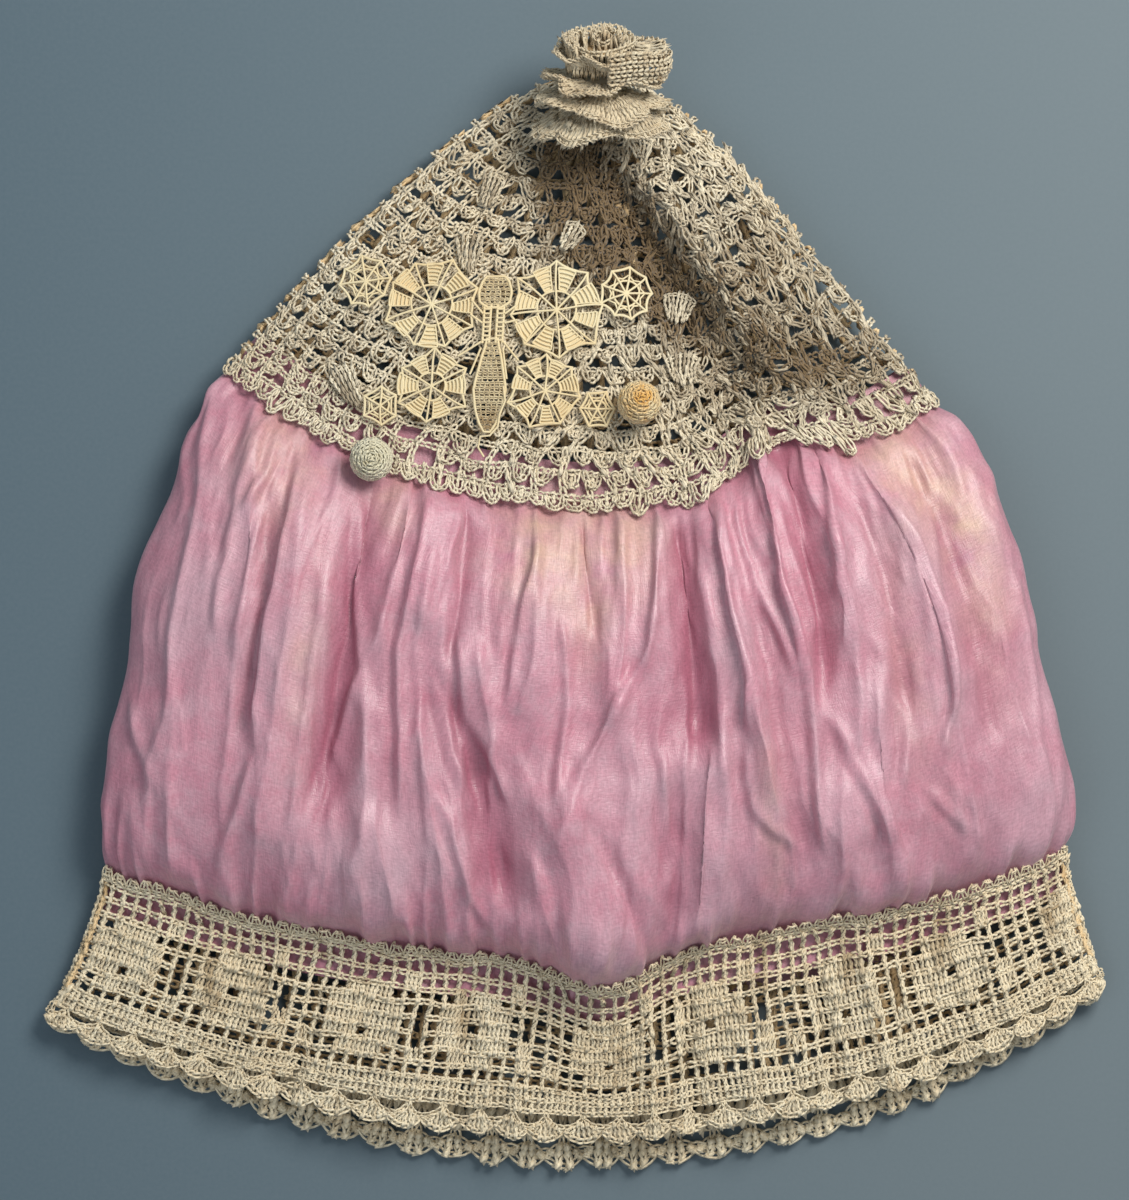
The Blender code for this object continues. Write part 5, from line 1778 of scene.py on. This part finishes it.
def fibre_group() -> bpy.types.NodeTree:
    """Height of the loose fibres and plies of spun thread."""
    tree, given, out = new_group("Thread fibres", (("Fibre scale", "NodeSocketFloat"),),
                                 (("Height", "NodeSocketFloat"), ("Fuzz", "NodeSocketFloat"),
                                  ("Ply", "NodeSocketFloat")))
    strand, parts = tree.nodes.new("ShaderNodeUVMap"), tree.nodes.new("ShaderNodeSeparateXYZ")
    strand.uv_map = "UVMap"
    turn = add_maths(tree, "ADD", parts.outputs["X"], parts.outputs["Y"])
    wave = add_maths(tree, "SINE", add_maths(tree, "MULTIPLY", turn, math.tau), 0.0)
    join_nodes(tree, (strand.outputs["UV"], parts.inputs["Vector"]),
               (add_range(tree, wave, -1.0, 1.0), out.inputs["Ply"]))
    where = tree.nodes.new("ShaderNodeTexCoord").outputs["Object"]
    coarse = add_noise(tree, where, 1.0, 3.0, 0.65)
    fine = add_noise(tree, where, 1.0, 2.0, 0.6)
    coarse_node, fine_node = coarse.node, fine.node
    join_nodes(tree, (given.outputs["Fibre scale"], coarse_node.inputs["Scale"]),
               (add_maths(tree, "MULTIPLY", given.outputs["Fibre scale"], 2.7), fine_node.inputs["Scale"]),
               (add_maths(tree, "ADD", coarse, add_maths(tree, "MULTIPLY", fine, 0.5)),
                out.inputs["Height"]), (fine, out.inputs["Fuzz"]))
    return tree


@dataclass(frozen=True)
class Cotton:
    """Crochet thread: its colour where clean, where aged, and the dark colour that each stitch's shade mixes
    in, which stands for random tone, brown thread and painted shade in folds and recesses.
    """
    name: str
    clean: tuple[float, float, float]
    aged: tuple[float, float, float]
    hollow: tuple[float, float, float]
    share: float = 0.6
    fibre_scale: float = 1500.0
    roughness: float = 0.80
    bump: float = 0.45
    ply_groove_shade: float = 0.78

    def material(self, ageing: bpy.types.NodeTree, fibres: bpy.types.NodeTree) -> bpy.types.Material:
        """Make the material from the two shared effects."""
        made, tree, shader = new_material(self.name, Roughness=self.roughness, Sheen_Weight=0.15,
                                          Sheen_Roughness=0.6, Specular_IOR_Level=0.25)
        aged = tree.nodes.new("ShaderNodeGroup")
        aged.node_tree = ageing
        aged.inputs["Clean"].default_value = (*self.clean, 1.0)
        aged.inputs["Aged"].default_value = (*self.aged, 1.0)
        aged.inputs["Share"].default_value = self.share
        thread = tree.nodes.new("ShaderNodeGroup")
        thread.node_tree = fibres
        thread.inputs["Fibre scale"].default_value = self.fibre_scale
        # Each stitch's shade mixes in the dark colour: random tone, brown thread, and painted shade in folds
        # and recesses.
        dark = add_range(tree, add_reader(tree, "shade"), 0.15, 1.0, 0.0, 0.93)
        colour = add_mix(tree, dark, aged.outputs["Colour"], (*self.hollow, 1.0))
        # Painted shade in the grooves between the plies darkens the colour; the fuzz adds a fine random tone.
        fuzz_and_groove_shade = add_maths(tree, "MULTIPLY", add_range(tree, thread.outputs["Fuzz"], 0.3, 0.7, 0.88, 1.08),
                         add_range(tree, thread.outputs["Ply"], 0.0, 0.8, self.ply_groove_shade, 1.0))
        plied = add_maths(tree, "ADD", thread.outputs["Height"],
                          add_maths(tree, "MULTIPLY", thread.outputs["Ply"], 1.5))
        join_nodes(tree, (add_tone(tree, colour, fuzz_and_groove_shade), shader.inputs["Base Color"]),
                   (add_bump(tree, plied, self.bump), shader.inputs["Normal"]))
        return made


@dataclass(frozen=True)
class Silk:
    """Thin plain-woven silk, pink with faded peach patches and with darker pink painted as shade in its fold
    valleys.
    """
    name: str = "pink_silk_cloth"
    pink: tuple[float, float, float] = (0.54, 0.230, 0.293)
    shaded_pink: tuple[float, float, float] = (0.37, 0.110, 0.165)
    pale: tuple[float, float, float] = (0.57, 0.365, 0.415)
    peach: tuple[float, float, float] = (0.66, 0.450, 0.330)
    roughness: float = 0.39
    bump: float = 0.40

    def material(self) -> bpy.types.Material:
        """Make the material. Its patterns follow the cloth coordinates and the cloth's attributes."""
        made, tree, shader = new_material(self.name, Sheen_Weight=0.24, Sheen_Roughness=0.35,
                                          Sheen_Tint=(1.0, 0.85, 0.88, 1.0), Specular_IOR_Level=0.60)
        cloth = tree.nodes.new("ShaderNodeUVMap")
        cloth.uv_map = "cloth"
        where = tree.nodes.new("ShaderNodeTexCoord").outputs["Object"]
        faded = add_range(tree, add_noise(tree, where, 24.0, 3.0, 0.6), 0.42, 0.72, 0.0, 0.75)
        colour = add_mix(tree, faded, (*self.pink, 1.0), (*self.pale, 1.0))
        cloudy = add_range(tree, add_noise(tree, where, 130.0, 4.0, 0.7), 0.40, 0.66, 0.0, 0.55)
        colour = add_mix(tree, cloudy, colour, (*self.pale, 1.0))
        # Darker, deeper pink in the fold valleys: painted shade.
        depth = add_range(tree, add_reader(tree, "hollow"), 0.36, 0.95, 0.0, 0.85)
        colour = add_mix(tree, depth, colour, (*self.shaded_pink, 1.0))
        ragged = add_range(tree, add_noise(tree, where, 60.0, 3.0, 0.6), 0.30, 0.62)
        stain = add_maths(tree, "MULTIPLY", add_reader(tree, "stain"), ragged)
        colour = add_mix(tree, stain, colour, (*self.peach, 1.0))
        slubs = self.stretched(tree, cloth.outputs["UV"], (260.0, 2600.0))
        threads = self.stretched(tree, cloth.outputs["UV"], (3000.0, 420.0))
        coarse = add_maths(tree, "ADD", self.stretched(tree, cloth.outputs["UV"], (420.0, 1500.0)),
                           self.stretched(tree, cloth.outputs["UV"], (1600.0, 300.0)))
        tone = add_range(tree, coarse, 0.7, 1.3, 0.82, 1.12)
        weave = add_maths(tree, "ADD", add_maths(tree, "ADD", slubs, threads), coarse)
        join_nodes(tree, (add_tone(tree, colour, tone), shader.inputs["Base Color"]),
                   (add_bump(tree, weave, self.bump), shader.inputs["Normal"]),
                   (add_range(tree, weave, 1.2, 2.8, self.roughness - 0.08, self.roughness + 0.10),
                    shader.inputs["Roughness"]))
        return made

    @staticmethod
    def stretched(tree: bpy.types.NodeTree, where: Any, scale: tuple[float, float]) -> Any:
        """Noise drawn out along one way of the weave."""
        mapping = tree.nodes.new("ShaderNodeMapping")
        mapping.inputs["Scale"].default_value = (scale[0], scale[1], 1.0)
        tree.links.new(where, mapping.inputs["Vector"])
        return add_noise(tree, mapping.outputs["Vector"], 1.0, 2.0, 0.5)


@dataclass(frozen=True)
class Ground:
    """The plain blue-grey surface that the cap lies on, paler towards the right, with painted light and shade
    across it.
    """
    colour: tuple[float, float, float] = (0.152, 0.189, 0.205)
    dark: tuple[float, float, float] = (0.096, 0.140, 0.168)
    span: float = 4.0

    def build(self) -> None:
        """Lay the floor out."""
        half = 0.5 * self.span
        floor = new_piece("studio_floor", [(-half, -half, 0), (half, -half, 0), (half, half, 0),
                                           (-half, half, 0)], (), [(0, 1, 2, 3)])
        made, tree, shader = new_material("studio_ground", Roughness=0.9, Specular_IOR_Level=0.1)
        where = tree.nodes.new("ShaderNodeTexCoord").outputs["Object"]
        grain = add_noise(tree, where, 900.0, 2.0)
        across = tree.nodes.new("ShaderNodeSeparateXYZ")
        tree.links.new(where, across.inputs["Vector"])
        # Painted shade darkens the floor towards the left and painted light brightens it towards the right.
        painted_light_falloff = add_range(tree, across.outputs["X"], -0.20, 0.14)
        plain = add_mix(tree, painted_light_falloff, (*self.dark, 1.0), (*self.colour, 1.0))
        tone = add_mix(tree, add_range(tree, grain, 0.3, 0.7, 0.0, 0.06), plain, (0.25, 0.28, 0.30, 1.0))
        tree.links.new(tone, shader.inputs["Base Color"])
        floor.data.materials.append(made)


@dataclass(frozen=True)
class Studio:
    """Soft daylight from the upper right and a camera straight above the cap."""
    centre: tuple[float, float, float] = (-0.00976, 0.0014, 0.012)
    frame_height: float = 0.330
    distance: float = 1.6
    key_power: float = 9.5
    fill_power: float = 3.4
    sky: tuple[float, float, float] = (0.62, 0.68, 0.74)
    sky_strength: float = 0.56

    def build(self) -> None:
        """Place the camera, the lights and the sky."""
        camera = bpy.data.objects.new("camera", bpy.data.cameras.new("camera"))
        camera.data.lens = camera.data.sensor_width * self.distance / self.frame_height
        camera.location = Vector(self.centre) + Vector((0.0, 0.0, self.distance))
        camera.data.clip_start, camera.data.clip_end = 0.05, 20.0
        bpy.context.scene.collection.objects.link(camera)
        bpy.context.scene.camera = camera
        bpy.context.scene.view_settings.view_transform = "Standard"
        self.light("window", (0.40, 0.48, 0.74), 0.42, self.key_power, (1.0, 0.97, 0.93))
        self.light("room", (-0.9, -0.6, 1.1), 1.2, self.fill_power, (0.86, 0.92, 1.0))
        world = bpy.data.worlds.new("studio_sky")
        world.use_nodes = True
        world.node_tree.nodes["Background"].inputs["Color"].default_value = (*self.sky, 1.0)
        world.node_tree.nodes["Background"].inputs["Strength"].default_value = self.sky_strength
        bpy.context.scene.world = world

    def light(self, name: str, place: tuple[float, float, float], size: float, power: float,
              colour: tuple[float, float, float]) -> None:
        """Place one soft square light, aimed at the cap."""
        lamp = bpy.data.objects.new(name, bpy.data.lights.new(name, "AREA"))
        lamp.data.size, lamp.data.energy, lamp.data.color = size, power, colour
        lamp.location = place
        lamp.rotation_euler = (Vector(self.centre) - Vector(place)).to_track_quat("-Z", "Y").to_euler()
        bpy.context.scene.collection.objects.link(lamp)


CROWN_COTTON = Cotton("crown_crochet", (0.90, 0.805, 0.600), (0.70, 0.540, 0.320), (0.165, 0.096, 0.033),
                      0.30)
INNER_COTTON = Cotton("inner_crochet", (0.92, 0.700, 0.400), (0.80, 0.540, 0.270), (0.50, 0.320, 0.140), 0.50)
MOTIF_THREAD = Cotton("needle_lace_thread", (0.86, 0.750, 0.480), (0.76, 0.520, 0.220),
                      (0.42, 0.270, 0.110), 0.42, 2200.0, 0.70, 0.25)
ROSE_COTTON = Cotton("rose_crochet", (0.76, 0.660, 0.465), (0.58, 0.425, 0.235), (0.34, 0.215, 0.095), 0.38)
# Dark cotton for the cloth in the bud's hollow: its tan inside with painted shade.
SHADED_BUD_COTTON = Cotton("rose_bud_inside", (0.38, 0.255, 0.120), (0.30, 0.190, 0.075), (0.24, 0.140, 0.050), 0.50)
PALE_BUTTON = Cotton("pale_ball_button", (0.80, 0.755, 0.560), (0.70, 0.600, 0.360), (0.52, 0.430, 0.240),
                     0.30)
GOLD_BUTTON = Cotton("golden_ball_button", (0.82, 0.700, 0.450), (0.78, 0.600, 0.300),
                     (0.80, 0.430, 0.090), 0.50)
BRIM_COTTON = Cotton("brim_crochet", (0.95, 0.830, 0.590), (0.74, 0.560, 0.320), (0.40, 0.280, 0.140), 0.30)


def dress(pieces: Sequence[bpy.types.Object], slot: str, *nodes: str) -> None:
    """Ride finished pieces on the cap and hide the CAD nodes that they replace."""
    for piece in pieces:
        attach(piece, "root")
        LOG.info("%s: %d faces", piece.name, len(piece.data.polygons))
    if nodes:
        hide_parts(*nodes)


def main() -> None:
    """Build the cap piece by piece, then the ground, the light and the camera."""
    logging.basicConfig(level=logging.INFO, format="%(name)s %(message)s")
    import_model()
    Studio().build()
    ageing, fibres = ageing_group(), fibre_group()
    laying = LayingTree()
    crown_cotton = CROWN_COTTON.material(ageing, fibres)
    brim_cotton = BRIM_COTTON.material(ageing, fibres)
    silk = SilkPuff(SilkForm()).build(Silk().material())
    dress([silk], "pink_silk", "silk_puff")
    inside = INNER_COTTON.material(ageing, fibres)
    dress(CrownLace(CapForm(), laying).build(crown_cotton, inside), "crown_cotton", "crown_lace")
    brim_form = BrimForm(folds=CapForm.folds + SMALL_BRIM_FOLDS)
    brim = FiletBrim(brim_form, laying).build(brim_cotton, inside)
    dress(brim[:2], "brim_cotton", "brim_lace")
    dress(brim[2:], "brim_cotton", "brim_edging")
    landing, winding = Landing(CapForm()), WindingTree()
    dress(CrownLeaves(landing, laying).build(crown_cotton), "crown_cotton")
    dress(Butterfly(landing, laying, winding).build(MOTIF_THREAD.material(ageing, fibres)), "motif_thread",
          "butterfly_body", *(plan.node for plan in WHEELS))
    tilted = BallButton("ball_button_right", laying, lean=(-0.35, 0.10), gold=0.75)
    for button, finish in ((BallButton("ball_button_left", laying), PALE_BUTTON), (tilted, GOLD_BUTTON)):
        dress(button.build(finish.material(ageing, fibres)), "button_cotton", button.node)
    rose_cotton = ROSE_COTTON.material(ageing, fibres)
    dress(Rose(laying).build(rose_cotton, SHADED_BUD_COTTON.material(ageing, fibres)), "rose_cotton",
          "rose_outer_round", "rose_lower_round", "rose_upper_round", "rose_inner_round", "rose_heart")
    Ground().build()


if __name__ == "__main__":
    main()
